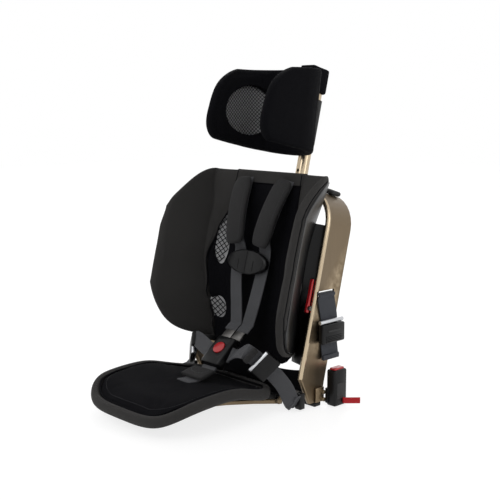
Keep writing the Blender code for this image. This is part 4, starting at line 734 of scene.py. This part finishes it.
def ribbon(name, body, nodes, points, width, thickness, across, finish, steps=6, cells=6):
    """Flat webbing: a grid laid along the run, with its own map in metres, given its thickness."""
    run = smooth_run(points, steps)
    bm = bmesh.new()
    last = len(run) - 1
    bmesh.ops.create_grid(bm, x_segments=last, y_segments=cells, size=1, calc_uvs=True)
    spans = [0.0]
    for a, b in zip(run, run[1:]):
        spans.append(spans[-1] + (b - a).length)
    tangents = directions(run)
    places = {}
    for vertex in bm.verts:
        i = round((vertex.co.x + 1) / 2 * last)
        side = vertex.co.y / 2
        wide = (across - tangents[i] * across.dot(tangents[i])).normalized()
        places[vertex] = (side * width, spans[i])
        vertex.co = run[i] + wide * side * width
    layer = bm.loops.layers.uv.active or bm.loops.layers.uv.new("UVMap")
    for face in bm.faces:
        for loop in face.loops:
            loop[layer].uv = places[loop.vert]
    piece = from_bmesh(name, bm)
    body_thickness = piece.modifiers.new("thickness", "SOLIDIFY")
    body_thickness.thickness = thickness
    body_thickness.offset = 0
    rounding = piece.modifiers.new("soft edges", "BEVEL")
    rounding.width = thickness * 0.3
    rounding.segments = 2
    rounding.limit_method = "ANGLE"
    rounding.angle_limit = math.radians(50)
    settle(piece)
    return finish_piece(piece, finish, body, *nodes)


def net(name, body, place, half_width, half_height, behind=None, pitch=NET_PITCH, strand=NET_STRAND):
    """Open net in an oval window: diagonal cells, laid on the cover and given round strands."""
    bm = bmesh.new()
    behind = behind or half_width
    reach = max(half_width, half_height) * 1.5
    count = 2 * round(reach / pitch)
    bmesh.ops.create_grid(bm, x_segments=count, y_segments=count, size=count * pitch / 2)
    bmesh.ops.rotate(bm, verts=bm.verts, matrix=Matrix.Rotation(math.pi / 4, 3, "Z"))
    outside = [v for v in bm.verts if (v.co.x / ((behind if v.co.x > 0 else half_width) + 0.003)) ** 2
               + (v.co.y / (half_height + 0.003)) ** 2 > 1]
    bmesh.ops.delete(bm, geom=outside, context="VERTS")
    for vertex in bm.verts:
        vertex.co = place(vertex.co.x, vertex.co.y)
    piece = from_bmesh(name, bm)
    strands = piece.modifiers.new("strands", "WIREFRAME")
    strands.thickness = strand
    strands.use_even_offset = False
    strands.use_boundary = True
    strands.use_replace = True
    settle(piece)
    return finish_piece(piece, "net", body)


def screw(name, body, place, axis, radius, height, finish="steel"):
    """A domed screw head with a six-sided socket."""
    bm = bmesh.new()
    bmesh.ops.create_cone(bm, cap_ends=True, segments=24, radius1=radius, radius2=radius * 0.8, depth=height)
    top = max(bm.faces, key=lambda f: f.calc_center_median().z)
    bmesh.ops.inset_individual(bm, faces=[top], thickness=radius * 0.38)
    for vertex in top.verts:
        vertex.co.z -= height * 0.5
    bmesh.ops.bevel(bm, geom=[e for e in bm.edges if e.calc_face_angle(0) > 0.7], offset=height * 0.12,
                    segments=2, affect="EDGES", profile=0.5, material=-1)
    bmesh.ops.transform(bm, verts=bm.verts, matrix=Matrix.Translation(place)
                        @ axis.to_track_quat("Z", "X").to_matrix().to_4x4())
    return finish_piece(from_bmesh(name, bm), finish, body, crease=35)


def moulding(name, body, finish, centre, size, turn=None, bevel=0.0008, segments=2):
    """A small moulded block with rounded edges, for ribs, lips and plates on a larger part."""
    bm = bmesh.new()
    bmesh.ops.create_cube(bm, size=1)
    bmesh.ops.scale(bm, vec=size, verts=bm.verts)
    bmesh.ops.bevel(bm, geom=list(bm.edges), offset=bevel, segments=segments, affect="EDGES", profile=0.5,
                    material=-1)
    matrix = Matrix.Translation(centre)
    if turn is not None:
        matrix = matrix @ turn
    bmesh.ops.transform(bm, verts=bm.verts, matrix=matrix)
    return finish_piece(from_bmesh(name, bm), finish, body, crease=40)


def bar(name, body, start, end, radius, finish, bevel=0.0008):
    """A round bar with softened ends."""
    bm = bmesh.new()
    bmesh.ops.create_cone(bm, cap_ends=True, segments=20, radius1=radius, radius2=radius,
                          depth=(end - start).length)
    bmesh.ops.bevel(bm, geom=[e for e in bm.edges if e.calc_face_angle(0) > 0.7], offset=bevel, segments=2,
                    affect="EDGES", profile=0.5, material=-1)
    bmesh.ops.transform(bm, verts=bm.verts, matrix=Matrix.Translation((start + end) / 2)
                        @ (end - start).to_track_quat("Z", "X").to_matrix().to_4x4())
    return finish_piece(from_bmesh(name, bm), finish, body, crease=35)


def make_camera():
    data = bpy.data.cameras.new("camera")
    data.lens = 66.744
    data.sensor_width = 36
    data.clip_end = 50
    camera = bpy.data.objects.new("camera", data)
    camera.location = (1.2723, -1.2135, 0.5604)
    camera.rotation_euler = (math.radians(90 - 9.04), 0, math.radians(46.3))
    SCENE.collection.objects.link(camera)
    SCENE.camera = camera


def make_light(name, place, target, size, power):
    data = bpy.data.lights.new(name, "AREA")
    data.shape = "RECTANGLE"
    data.size, data.size_y = size
    data.energy = power
    lamp = bpy.data.objects.new(name, data)
    lamp.location = place
    lamp.rotation_euler = (Vector(target) - Vector(place)).to_track_quat("-Z", "Y").to_euler()
    SCENE.collection.objects.link(lamp)


def make_studio():
    """White floor that keeps the shadow, a plain bright surround and three soft lamps."""
    SCENE.view_settings.view_transform = "Standard"
    world = SCENE.world or bpy.data.worlds.new("surround")
    SCENE.world = world
    world.use_nodes = True
    tree = world.node_tree
    tree.nodes.clear()
    seen = add_node(tree, "ShaderNodeLightPath").outputs
    white = maths(tree, "MAXIMUM", seen["Is Camera Ray"],
                  maths(tree, "MAXIMUM", seen["Is Glossy Ray"], seen["Is Transmission Ray"]))
    plain = add_node(tree, "ShaderNodeBackground", {"Color": (1, 1, 1, 1), "Strength": 0.62})
    bright = add_node(tree, "ShaderNodeBackground", {"Color": (1, 1, 1, 1), "Strength": 1.0})
    both = add_node(tree, "ShaderNodeMixShader", {0: white, 1: plain.outputs[0], 2: bright.outputs[0]})
    add_node(tree, "ShaderNodeOutputWorld", {0: both.outputs[0]})
    bm = bmesh.new()
    bmesh.ops.create_grid(bm, x_segments=8, y_segments=8, size=6)
    floor = from_bmesh("studio_floor", bm)
    made = bpy.data.materials.new("studio floor")
    made.use_nodes = True
    tree = made.node_tree
    tree.nodes.clear()
    matt = add_node(tree, "ShaderNodeBsdfPrincipled",
                    {"Base Color": (0.86, 0.86, 0.86, 1), "Roughness": 0.45})
    glow = add_node(tree, "ShaderNodeEmission", {"Color": (1, 1, 1, 1), "Strength": 1.26})
    path = add_node(tree, "ShaderNodeLightPath").outputs
    direct = maths(tree, "MAXIMUM", path["Is Camera Ray"],
                   maths(tree, "MAXIMUM", path["Is Glossy Ray"], path["Is Transmission Ray"]))
    share = maths(tree, "MULTIPLY", direct, 0.62)
    both = add_node(tree, "ShaderNodeMixShader", {0: share, 1: matt.outputs[0], 2: glow.outputs[0]})
    add_node(tree, "ShaderNodeOutputMaterial", {0: both.outputs[0]})
    floor.data.materials.append(made)
    make_light("key lamp", (0.2, -2.2, 2.2), (0, 0, 0.25), (1.6, 1.6), 16)
    make_light("side lamp", (2.3, 0.5, 1.3), (0.1, 0, 0.25), (0.8, 1.8), 9)
    make_light("back lamp", (-1.6, 1.8, 1.6), (0, 0, 0.35), (1.4, 1.4), 10)


SEAM_ROWS = ((0.060, 0.104), (0.120, 0.110), (0.180, 0.120), (0.240, 0.126), (0.304, 0.114), (0.368, 0.088),
             (0.430, 0.086))


def seam_at(s):
    """How far from the middle the wing's cloth ends on the panel."""
    return shares_at(SEAM_ROWS, s)


def root_at(s):
    return ROOT_HALF_WIDTH * shares_at(ROOT_WIDTH_SHARES, back_share(s))


def facing_point(side, u, v, depth):
    """Point of a wing's cover: u runs from its seam on the panel over the root to the rim."""
    if u < 0.24:
        s = 0.0875 + 0.3425 * v
        x = seam_at(s) + (root_at(s) - seam_at(s)) * u / 0.24
        return lean(side * x, back_depth(x, s) - 0.0012 + depth * (0.25 + 0.6 * u / 0.24), s)
    return wing_point(side, (u - 0.24) / 0.76, v, depth * min(0.85 + 0.15 * (u - 0.24) / 0.2, 1) - 0.0012)


def make_wings():
    for name, side in SIDES:
        def place(u, v, depth, side=side):
            return facing_point(side, u, v, depth)
        wing = quilt("wing_cover_" + name, place, spaced(0.17, 46), spaced(0.32, 72), (0.17, 0.32),
                     0.0158, 0.0105, (0.002, 0, 0, 0))
        rim = [wing_point(side, 0.955, v, 0.0146) for v in even(0.03, 0.97, 20)]
        rim = [wing_point(side, r, 0.03, 0.0146) for r in even(0.1, 0.92, 8)] + rim + [
            wing_point(side, r, 0.97, 0.0146) for r in reversed(even(0.1, 0.92, 8))]
        soft_cover(wing, "wing cloth", "frame", ["wing_pad_" + name], cap=0.0022, own=["back_panel"],
                   lines=((smooth_run(rim, 3), 0.0045, 0.0016),))
        line, _ = traced(wing, dense(smooth_run(rim, 3), 0.004), 0.0001)
        piping("wing_seam_" + name, "frame", line, 0.0009, "knit")
        rows = []
        for inset in (0.905, 0.885):
            sewn = [wing_point(side, inset, v, 0.0146) for v in even(0.06, 0.94, 20)]
            rows.append(traced(wing, dense(smooth_run(sewn, 3), 0.004), 0.0002)[0])
        stitches("wing_stitching_" + name, "frame", rows)
        edge = [facing_point(side, 0.004, v, 0.0) for v in even(0.06, 0.99, 40)]
        piping("wing_facing_seam_" + name, "frame", smooth_run(edge, 2), 0.0011, "knit")


def make_back_cover():
    seams = [[lean(x, back_depth(x, s), s) for s in even(0.09, 0.40, 24)] for x in (-0.064, 0.064)]
    panel = cover("back_panel", "knit", voxel=0.0034, cap=0.0015, rounds=4, lines=(
        (seams[0], 0.004, 0.0013), (seams[1], 0.004, 0.0013)))
    for vertex in panel.data.vertices:
        x, d, s = vertex.co.x, vertex.co.dot(BEHIND_BACK), vertex.co.dot(UP_BACK)
        if abs(x) > seam_at(s) - 0.002 or s > 0.404:
            behind = back_depth(x, s) + 0.0014 - d
            if 0 < behind < 0.006:
                vertex.co += BEHIND_BACK * behind

    def band(u, v, depth):
        x, s = 0.094 * (2 * u - 1), 0.4045 + 0.0262 * v
        return lean(x, back_depth(x, s) - 0.0013 + depth, s)
    yoke = quilt("back_yoke", band, even(0, 1, 60), spaced(0.0262, 6, 0.006), (0.188, 0.0262), 0.0142, 0.006,
                 (0.004, 0.004, 0.001, 0.006))
    finish_piece(yoke, "wing cloth", "frame")
    low = [band(u, 0.03, 0.0003) for u in even(0.02, 0.98, 40)]
    piping("back_yoke_seam", "frame", low, 0.0008, "knit")
    for name, side in SIDES:
        for level, s, half in VENTS:
            def place(u, v, side=side, s=s, deep=0.0014):
                x, height = side * VENT_X + u, s + v
                return lean(x, back_depth(x, height) + deep, height)
            net(f"back_net_{level}_{name}", "frame", place, VENT_HALF_WIDTH, half,
                pitch=0.0076, strand=0.0026)
            # Pale sheet behind each vent's net: painted light standing in for the bright surround seen
            # through the mesh.
            plate(f"back_net_backing_{level}_{name}", "frame", lambda u, v, at=place: at(u, v, deep=0.0056),
                  VENT_HALF_WIDTH + 0.002, half + 0.002, "pale painted-light backing")


def make_skirt():
    """Cloth that closes the gap under the back, between the legs."""
    def place(u, v, depth):
        x = 0.146 * (2 * u - 1)
        outward = (abs(x) / 0.146) ** 3
        s = 0.0185 + (0.0395 + 0.0155 * outward) * v
        wave = 0.0012 * math.sin(x * 130) * (1 - v)
        return lean(x, 0.0075 - 0.0150 * outward * v + 0.0150 * (1 - v) + wave + depth, s)
    skirt = quilt("back_skirt", place, spaced(0.292, 50, 0.006), spaced(0.0395, 10, 0.006),
                  (0.292, 0.0395), 0.0030, 0.0015)
    finish_piece(skirt, "knit", "frame")


def disc(cells=24):
    """An even grid drawn out to a round sheet of radius 1."""
    bm = bmesh.new()
    bmesh.ops.create_grid(bm, x_segments=cells, y_segments=cells, size=1)
    for vertex in bm.verts:
        flat = Vector((vertex.co.x, vertex.co.y, 0))
        vertex.co = flat * (max(abs(flat.x), abs(flat.y)) / max(flat.length, 1e-9))
    return bm


def plate(name, body, place, half_width, half_height, finish, thickness=0.0006):
    """A thin oval sheet laid on a form."""
    bm = disc()
    for vertex in bm.verts:
        vertex.co = place(vertex.co.x * half_width, vertex.co.y * half_height)
    bmesh.ops.solidify(bm, geom=list(bm.faces), thickness=thickness)
    bmesh.ops.recalc_face_normals(bm, faces=bm.faces)
    return finish_piece(from_bmesh(name, bm), finish, body)


def slab(place, half_width, half_height, low, high):
    """Closed oval block between two depths of a form, to cut a window with."""
    bm = disc(36)
    raised = bmesh.ops.extrude_face_region(bm, geom=list(bm.faces), use_keep_orig=True)["geom"]
    upper = {item for item in raised if isinstance(item, bmesh.types.BMVert)}
    for vertex in bm.verts:
        depth = high if vertex in upper else low
        vertex.co = place(vertex.co.x * half_width, vertex.co.y * half_height, depth)
    bmesh.ops.recalc_face_normals(bm, faces=bm.faces)
    return from_bmesh("window_cutter", bm)


def make_headrest_cover():
    wrap = quilt("headrest_cover", lambda u, v, depth: head_wall(2 * u - 1, v, depth - 0.0008),
                 spaced(0.46, 104), spaced(HEAD_HEIGHT, 42), (0.46, HEAD_HEIGHT), 0.0178, 0.0085)
    y, z = HEAD_WINDOW.y, HEAD_WINDOW.z
    others = neighbours_of("headrest_pad", "headrest_shell", "headrest_mesh", "headrest_bracket")
    swell(wrap, 4.0, 0.0015, others)
    finer = wrap.modifiers.new("finer", "SUBSURF")
    finer.levels = finer.render_levels = 1
    settle(wrap)
    for name, side in SIDES:
        seam = [head_wall(side * 0.27, v, -0.0008) for v in even(0.02, 0.98, 20)]
        press_seam(wrap, seam, 0.0045, 0.0014)
        rear = [head_wall(side * 0.40, v, -0.0008) for v in even(0.04, 0.96, 20)]
        piping("headrest_rear_seam_" + name, "headrest", traced(wrap, dense(rear, 0.004), 0.0001)[0], 0.0009,
               "pad cloth")
    for name, side in SIDES:
        def place(u, v, deep=0.0150, side=side):
            along = u if u < 0 else u * HEAD_WINDOW_BEHIND / HEAD_WINDOW_AHEAD
            return head_side(side, y + along, z + v, deep)
        cutter = slab(place, HEAD_WINDOW_AHEAD, HEAD_WINDOW_HEIGHT, 0.0060, 0.0230)
        hole = wrap.modifiers.new("window", "BOOLEAN")
        hole.operation = "DIFFERENCE"
        hole.object = cutter
        hole.solver = "EXACT"
        settle(wrap)
        bpy.data.objects.remove(cutter)
        net("headrest_net_" + name, "headrest", lambda u, v, side=side: head_side(side, y + u, z + v, 0.0145),
            HEAD_WINDOW_AHEAD, HEAD_WINDOW_HEIGHT, HEAD_WINDOW_BEHIND)
        # Pale sheet behind the window's net: painted light standing in for the bright surround seen through
        # the mesh.
        plate("headrest_net_painted_light_" + name, "headrest", lambda u, v, at=place: at(u, v, 0.0070),
              HEAD_WINDOW_AHEAD, HEAD_WINDOW_HEIGHT, "pale painted-light backing")
    finish_piece(wrap, "knit", "headrest", "headrest_pad", "headrest_shell", "headrest_mesh", crease=50)
    cover("headrest_pocket", "knit", voxel=0.0022, cap=0.001, rounds=2)


SEAT_WIDTHS = ((0.0, 0.40), (0.02, 0.60), (0.055, 0.76), (0.11, 0.90), (0.19, 0.985), (0.32, 1.0),
               (0.60, 1.0), (0.78, 0.975), (0.90, 0.90), (0.96, 0.80), (1.0, 0.66))
SEAT_HEIGHTS = ((0.0, 0.32), (0.05, 0.36), (0.18, 0.76), (0.34, 0.87), (0.48, 0.90), (0.60, 0.87),
                (0.74, 0.66), (0.87, 0.48), (1.0, 0.46))
SEAT_FRONT, SEAT_LENGTH, SEAT_RIM_HEIGHT, SEAT_DISH, SEAT_BORDER_HEIGHT = -0.316, 0.280, 0.052, 0.015, 0.020


def seat_share(y):
    return (y - SEAT_FRONT) / SEAT_LENGTH


def seat_rim(y):
    """Height of the rim's underside at a place between front and rear."""
    return SEAT_RIM_HEIGHT * shares_at(SEAT_HEIGHTS, seat_share(y))


def curved_share(rows, place):
    """Value of a table of (place, value) rows along one smooth curve, for the places between its ends."""
    index = max(i for i, row in enumerate(rows[:-1]) if row[0] <= place)

    def slope(i):
        low, high = rows[max(i - 1, 0)], rows[min(i + 1, len(rows) - 1)]
        return (high[1] - low[1]) / (high[0] - low[0])

    (low, first), (high, last) = rows[index], rows[index + 1]
    t = (place - low) / (high - low)
    bend = (high - low) * (slope(index) * t * (1 - t) ** 2 - slope(index + 1) * t * t * (1 - t))
    return first + (last - first) * t * t * (3 - 2 * t) + bend


def seat_edge(inset, rise):
    """Line round the seat at an inset from its outline and a height above the rim's underside."""
    half = [(0.135 * shares_at(SEAT_WIDTHS, share), SEAT_FRONT + SEAT_LENGTH * share)
            for share in (1.0, 0.97, 0.90, 0.80, 0.70, 0.60, 0.50, 0.40, 0.30, 0.20, 0.12, 0.06, 0.025, 0.0)]
    points = [Vector((x, y, 0)) for x, y in half] + [Vector((-x, y, 0)) for x, y in reversed(half)]
    line = []
    for i, point in enumerate(points):
        along = points[(i + 1) % len(points)] - points[i - 1]
        inward = Vector((along.y, -along.x, 0)).normalized()
        if inward.dot(Vector((0, -0.176, 0)) - point) < 0:
            inward.negate()
        spot = point + inward * inset
        spot.z = seat_rim(spot.y) + rise
        line.append(spot)
    return smooth_run(line + line[:1], 4)


def make_seat_covers():
    pad = smooth_cover("seat_pad", "knit", levels=3, push=0.0012, cap=0.002)
    border = smooth_cover("seat_border", "wing cloth", levels=3, push=0.0010, cap=0.0008)
    for name, piece, inset in (("pad", pad, 0.0230), ("border", border, 0.0105)):
        row = traced(piece, dense(seat_edge(inset, 0.030), 0.004), 0.0002)[0]
        stitches("seat_stitching_" + name, "seat", [row])
    piping("seat_seam", "seat", seat_edge(0.0165, 0.0175), 0.0020, "knit", closed=True)


HARNESS_WIDTH, HARNESS_LOWER_X = 0.030, 0.0165
PAD_TOP_X, PAD_TOP_UP, PAD_BOTTOM_X, PAD_BOTTOM_UP = 0.056, 0.414, 0.034, 0.280
PAD_BOTTOM_DEPTH, PAD_BULGE, PAD_THICKNESS = 0.078, 0.010, 0.015
CLIP_DEPTH, CLIP_UP, CLIP_HALF_HEIGHT, CLIP_THICKNESS = 0.066, 0.249, 0.024, 0.013
CROTCH_FOOT_PLACES = (-0.168, -0.150)
HIP_ROLL_PLACE = {"left": (0.098, -0.104, 0.119), "right": (-0.090, -0.058, 0.100)}
HIP_BAR_PLACE = {"left": (0.118, -0.089, 0.101), "right": (-0.106, -0.052, 0.084)}
HIP_TAIL_PLACE = {"left": (0.136, -0.050, 0.062), "right": (-0.124, -0.042, 0.060)}
HIP_WIDE = {"left": (0.44, 0.46, 0.77), "right": (-0.44, 0.46, 0.77)}
HIP_ROLL_SHIFT = {"left": (-0.0075, -0.0130, 0.0115), "right": (0.0085, -0.0050, 0.0125)}
HIP_FOOT = (0.151, -0.022, 0.019)
HIP_ANCHOR_LENGTH, HIP_ADJUSTER_LENGTH, HIP_ADJUSTER_THICKNESS = 0.013, 0.034, 0.010
LEG_FACE_X, LEG_WALL = 0.155, 0.0045
LATCH_SLOT_Y, LATCH_SLOT_Z, LATCH_BAR_Y, LATCH_BAR_Z = 0.047, 0.213, 0.056, 0.160
LATCH_BAR_RADIUS, LATCH_ADJUSTER_LENGTH, LATCH_ADJUSTER_THICKNESS, LATCH_TAIL = 0.004, 0.036, 0.012, 0.030
PULL_FOOT, PULL_LENGTH, PULL_THICKNESS, PULL_ANGLE = (0.1848, 0.067, 0.010), 0.030, 0.0025, math.radians(47)


def buckle_place(x, along):
    return BUCKLE_MIDDLE + ACROSS * x + BUCKLE_UP * along


def pad_place(side, share, behind=0.0):
    """Middle of a shoulder pad from its top (0) to its lower end (1), or of what lies behind it."""
    s = PAD_TOP_UP + (PAD_BOTTOM_UP - PAD_TOP_UP) * share
    x = PAD_TOP_X + (PAD_BOTTOM_X - PAD_TOP_X) * share
    top = -YOKE_DEPTH - 3 * CLEAR - WEB_THICKNESS - PAD_THICKNESS / 2
    d = top + (-PAD_BOTTOM_DEPTH - top) * share**2 - PAD_BULGE * math.sin(math.pi * share)
    return lean(side * x, d + behind, s)


def harness_route(side):
    """Webbing behind a shoulder pad, through the chest clip and down to the buckle's tongue."""
    behind = PAD_THICKNESS / 2 + 3 * CLEAR + WEB_THICKNESS / 2
    clip_depth = -CLIP_DEPTH + (CLIP_THICKNESS + WEB_THICKNESS) / 2 + CLEAR
    end = BUCKLE_LENGTH / 2 + TONGUE_LENGTH + 2 * CLEAR
    points = [pad_place(side, share, behind) for share in even(0, 0.9, 8)]
    points += [lean(side * PAD_BOTTOM_X, clip_depth, CLIP_UP + rise * CLIP_HALF_HEIGHT) for rise in (1, -1)]
    points += [buckle_place(side * HARNESS_LOWER_X, end + TONGUE_LENGTH * share) for share in (1, 0.5, 0)]
    return points


def crotch_route():
    low = -BUCKLE_LENGTH / 2 - 2 * CLEAR
    above = SEAT_BORDER_HEIGHT - SEAT_DISH + WEB_THICKNESS + 4 * CLEAR
    feet = [Vector((0, y, SEAT_RIM_HEIGHT * curved_share(SEAT_HEIGHTS, seat_share(y)) + above))
            for y in CROTCH_FOOT_PLACES]
    return feet + [buckle_place(0, low - turn * WEB_THICKNESS) for turn in (6, 3, 0)]


def hip_route(name, side):
    """How a hip belt lies across, and its webbing from the buckle to the foot of the leg."""
    roll, bar_at, tail = (Vector(place[name]) for place in (HIP_ROLL_PLACE, HIP_BAR_PLACE, HIP_TAIL_PLACE))
    near = buckle_place(side * (BUCKLE_WIDTH / 2 + 2 * CLEAR), 0)
    foot = Vector((side * HIP_FOOT[0], *HIP_FOOT[1:]))
    along = (tail - bar_at).normalized()
    wide = Vector(HIP_WIDE[name]).normalized()
    wide = (wide - along * wide.dot(along)).normalized()
    behind = along.cross(wide) * -side * (HIP_ADJUSTER_THICKNESS / 2 + CLEAR + WEB_THICKNESS / 2)
    centre = bar_at + along * HIP_ADJUSTER_LENGTH / 2
    leave = centre + along * (HIP_ADJUSTER_LENGTH / 2 + CLEAR) + behind
    points = [near + ACROSS * side * HARNESS_WIDTH * share / 4 for share in (0, 0.2, 1)]
    points += [roll, bar_at + behind, centre + behind, leave, leave.lerp(foot, 0.5)]
    return wide, points + [foot - Vector((0, HIP_ANCHOR_LENGTH * share, 0)) for share in (1, 0.5, 0)]


def latch_route(side):
    """Webbing out of the leg's slot, down past the bar and the adjuster to its tail."""
    bottom = LATCH_BAR_Z - LATCH_BAR_RADIUS - CLEAR - LATCH_ADJUSTER_LENGTH
    web_x = LEG_FACE_X + 2 * CLEAR + WEB_THICKNESS / 2
    tail_x = LEG_FACE_X + 3 * CLEAR + WEB_THICKNESS + LATCH_ADJUSTER_THICKNESS / 4
    rows = ((LEG_FACE_X - LEG_WALL - WEB_THICKNESS, LATCH_SLOT_Y, LATCH_SLOT_Z),
            (LEG_FACE_X, LATCH_SLOT_Y, LATCH_SLOT_Z),
            (web_x + WEB_THICKNESS, LATCH_SLOT_Y, LATCH_SLOT_Z - WEB_THICKNESS),
            (web_x, LATCH_SLOT_Y, LATCH_SLOT_Z - 4 * WEB_THICKNESS),
            (web_x, LATCH_BAR_Y, LATCH_BAR_Z),
            (web_x, LATCH_BAR_Y, bottom),
            (tail_x, LATCH_BAR_Y, bottom - LATCH_TAIL))
    return [Vector((side * x, y, z)) for x, y, z in rows]


def pull_route(side):
    x, y, z = PULL_FOOT
    bend = x + PULL_THICKNESS
    end_x, end_y = bend + PULL_LENGTH * math.cos(PULL_ANGLE), y + PULL_LENGTH * math.sin(PULL_ANGLE)
    return [Vector((side * x, y, z)), Vector((side * bend, y, z)), Vector((side * end_x, end_y, z))]


def make_harness():
    """Shoulder pads and webbing, chest clip, buckle, crotch strap and hip belts."""
    for name, side in SIDES:
        pad_run = smooth_run([pad_place(side, share) for share in even(0, 1, 8)], 3)
        pad = smooth_cover("shoulder_pad_" + name, "pad cloth", cap=0.0015)
        rows = []
        for shift in (-0.0185, 0.0185):
            front = [p + ACROSS * shift - BEHIND_BACK * 0.02 for p in pad_run[2:-2]]
            rows.append(traced(pad, front, 0.0001)[0])
        stitches("shoulder_stitching_" + name, "frame", rows, finish="thread")
        ribbon("harness_webbing_" + name, "frame", ["harness_web_" + name], harness_route(side),
               HARNESS_WIDTH, WEB_THICKNESS, ACROSS, "webbing")
        wide, points = hip_route(name, side)
        ribbon("hip_webbing_" + name, "frame", ["hip_web_" + name], points,
               HARNESS_WIDTH, WEB_THICKNESS, wide, "webbing")
    bend = ("seat", "buckle", (0, -0.118, 0.060), (0, -0.104, 0.068))
    ribbon("crotch_webbing", bend, ["crotch_web"], crotch_route(), 0.036, 0.0044, ACROSS, "webbing")
    pad = smooth_cover("crotch_pad", "pad cloth", body=bend, cap=0.0006, fill=0.3)
    arc = [Vector((0.021 * math.sin(a), -0.130 - 0.015 * math.cos(a), 0.09)) for a in even(-1.9, 1.9, 24)]
    stitches("crotch_stitching", bend, [traced(pad, arc, 0.0002)[0]], radius=0.00045)


def make_rigid():
    """Every rigid node, with its edges rounded off and its finish."""
    for node, finish, width in (
        ("hoop_frame", "bronze", 0.0007), ("headrest_pole", "pale bronze and painted highlight", 0.0003),
        ("seat_frame", "bronze", 0.0006), ("base_cross_bar", "black plastic", 0.0010),
        ("back_shell", "black plastic", 0.0006),
        ("pole_guide", "black plastic", 0.0008), ("headrest_bracket", "black plastic", 0.0008),
        ("height_lock_button", "red", 0.0008), ("seat_shell", "black plastic", 0.0006),
    ):
        refined(node, finish, width)
    hoop = bpy.data.objects["hoop_frame_form"].data
    # The hoop's faces within 7.5 mm of its front take the paler bronze: a painted highlight where its rounded
    # front bead catches the light.
    front = min(v.co.dot(BEHIND_BACK) for v in hoop.vertices)
    hoop.materials.append(FINISHES["pale bronze and painted highlight"])
    for face in hoop.polygons:
        if face.center.dot(BEHIND_BACK) < front + 0.0075:
            face.material_index = 1
    for name, _ in SIDES:
        for node, finish, width in (
            ("shell_bracket_", "black plastic", 0.0008), ("crown_bumper_", "rubber", 0.0012),
            ("lever_mount_", "black plastic", 0.0005), ("fold_lever_", "red", 0.0009),
            ("hinge_bolt_", "steel", 0.0004), ("chest_clip_", "black plastic", 0.0012),
            ("tongue_", "steel", 0.0006),
            ("hip_adjuster_", "black plastic", 0.0008), ("hip_anchor_", "black plastic", 0.0010),
            ("latch_adjuster_", "black plastic", 0.0008), ("latch_bar_", "silver", 0.0005),
            ("latch_lug_", "bronze", 0.0006), ("connector_", "black plastic", 0.0010),
            ("connector_button_", "red", 0.0008),
        ):
            refined(node + name, finish, width)
    refined("buckle_body", "black plastic", 0.0012)
    refined("buckle_button", "red", 0.0010)


def make_latches():
    for name, side in SIDES:
        ribbon("latch_webbing_" + name, "frame", ["latch_web_" + name], latch_route(side), 0.044,
               WEB_THICKNESS, Vector((0, 1, 0)), "latch webbing")
        ribbon("pull_tape_cloth_" + name, "frame", ["pull_tape_" + name], pull_route(side), 0.011, 0.0025,
               Vector((0, 0, 1)), "red tape")


def make_details():
    """Bars, screws, ribs, slots and sewing on the hardware and webbing."""
    for name, side in SIDES:
        wide, route = hip_route(name, side)
        centre, back = Vector(HIP_BAR_PLACE[name]), Vector(HIP_ROLL_SHIFT[name])
        holder = body_of("hip_adjuster_" + name)
        bar("hip_bar_" + name, holder, centre - wide * 0.0225, centre + wide * 0.0225, 0.0037, "silver")
        bar("hip_roll_" + name, holder, centre + back - wide * 0.0150, centre + back + wide * 0.0150, 0.0058,
            "pad cloth", 0.0012)
        points = smooth_run(route, 6)
        rows = []
        for share in (0.76, 0.79, 0.82):
            spot = points[int(share * (len(points) - 1))]
            rows.append([spot + wide * w + Vector((side * 0.0015, 0, 0)) for w in even(-0.012, 0.012, 8)])
        stitches("hip_hem_" + name, holder, rows, radius=0.0005)
        hub = (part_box("lever_mount_" + name)[0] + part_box("lever_mount_" + name)[1]) / 2
        screw("lever_screw_" + name, "frame", Vector((side * 0.1523, hub.y, hub.z)), ACROSS * side,
              0.0044, 0.0016)
        low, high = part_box("latch_adjuster_" + name)
        face_x = side * (max(abs(low.x), abs(high.x)) + 0.0004)
        mover = body_of("latch_adjuster_" + name)
        middle = (low + high) / 2
        moulding("latch_slot_" + name, mover, "rubber", Vector((face_x, middle.y, low.z + 0.0235)),
                 (0.0012, 0.034, 0.0042))
        for i in range(4):
            moulding(f"latch_rib_{i}_{name}", mover, "black plastic",
                     Vector((face_x, middle.y, low.z + 0.004 + 0.003 * i)), (0.0012, 0.044, 0.0014),
                     bevel=0.0004)
        moulding("latch_hem_" + name, "frame", "latch webbing", Vector((side * 0.1611, 0.056, 0.0925)),
                 (0.0072, 0.0435, 0.0100), bevel=0.0016)
        clip = bpy.data.objects["chest_clip_" + name + "_form"]
        for i, x in enumerate((0.0455, 0.0200)):
            line = [Vector((side * x, -0.03, z)) for z in even(0.2430 + 0.004 * i, 0.2720 - 0.004 * i, 12)]
            piping(f"chest_clip_rib_{i}_{name}", body_of("chest_clip_" + name), traced(clip, line, 0.0)[0],
                   0.0008, "black plastic")
        low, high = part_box("connector_" + name)
        moulding("connector_slot_" + name, "frame", "rubber",
                 Vector((side * (max(abs(low.x), abs(high.x)) + 0.0002), (low.y + high.y) / 2, 0.030)),
                 (0.0010, 0.0190, 0.0300), bevel=0.0004)
        for piece in ("hip_webbing_{}", "hip_bar_{}", "hip_roll_{}", "hip_hem_{}", "hip_adjuster_{}_form"):
            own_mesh(bpy.data.objects[piece.format(name)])
    spot = BUCKLE_MIDDLE + BUCKLE_UP * 0.0040 + BUCKLE_FACE * 0.0095
    ring = [spot + (ACROSS * math.cos(a) + BUCKLE_UP * math.sin(a)) * 0.0143
            for a in even(0, math.tau, 48)[:-1]]
    piping("buckle_ring", "buckle", ring, 0.0010, "black plastic", closed=True)


make_camera()
make_studio()
make_rigid()
make_back_cover()
make_wings()
make_headrest_cover()
make_seat_covers()
make_harness()
make_latches()
make_skirt()
make_details()
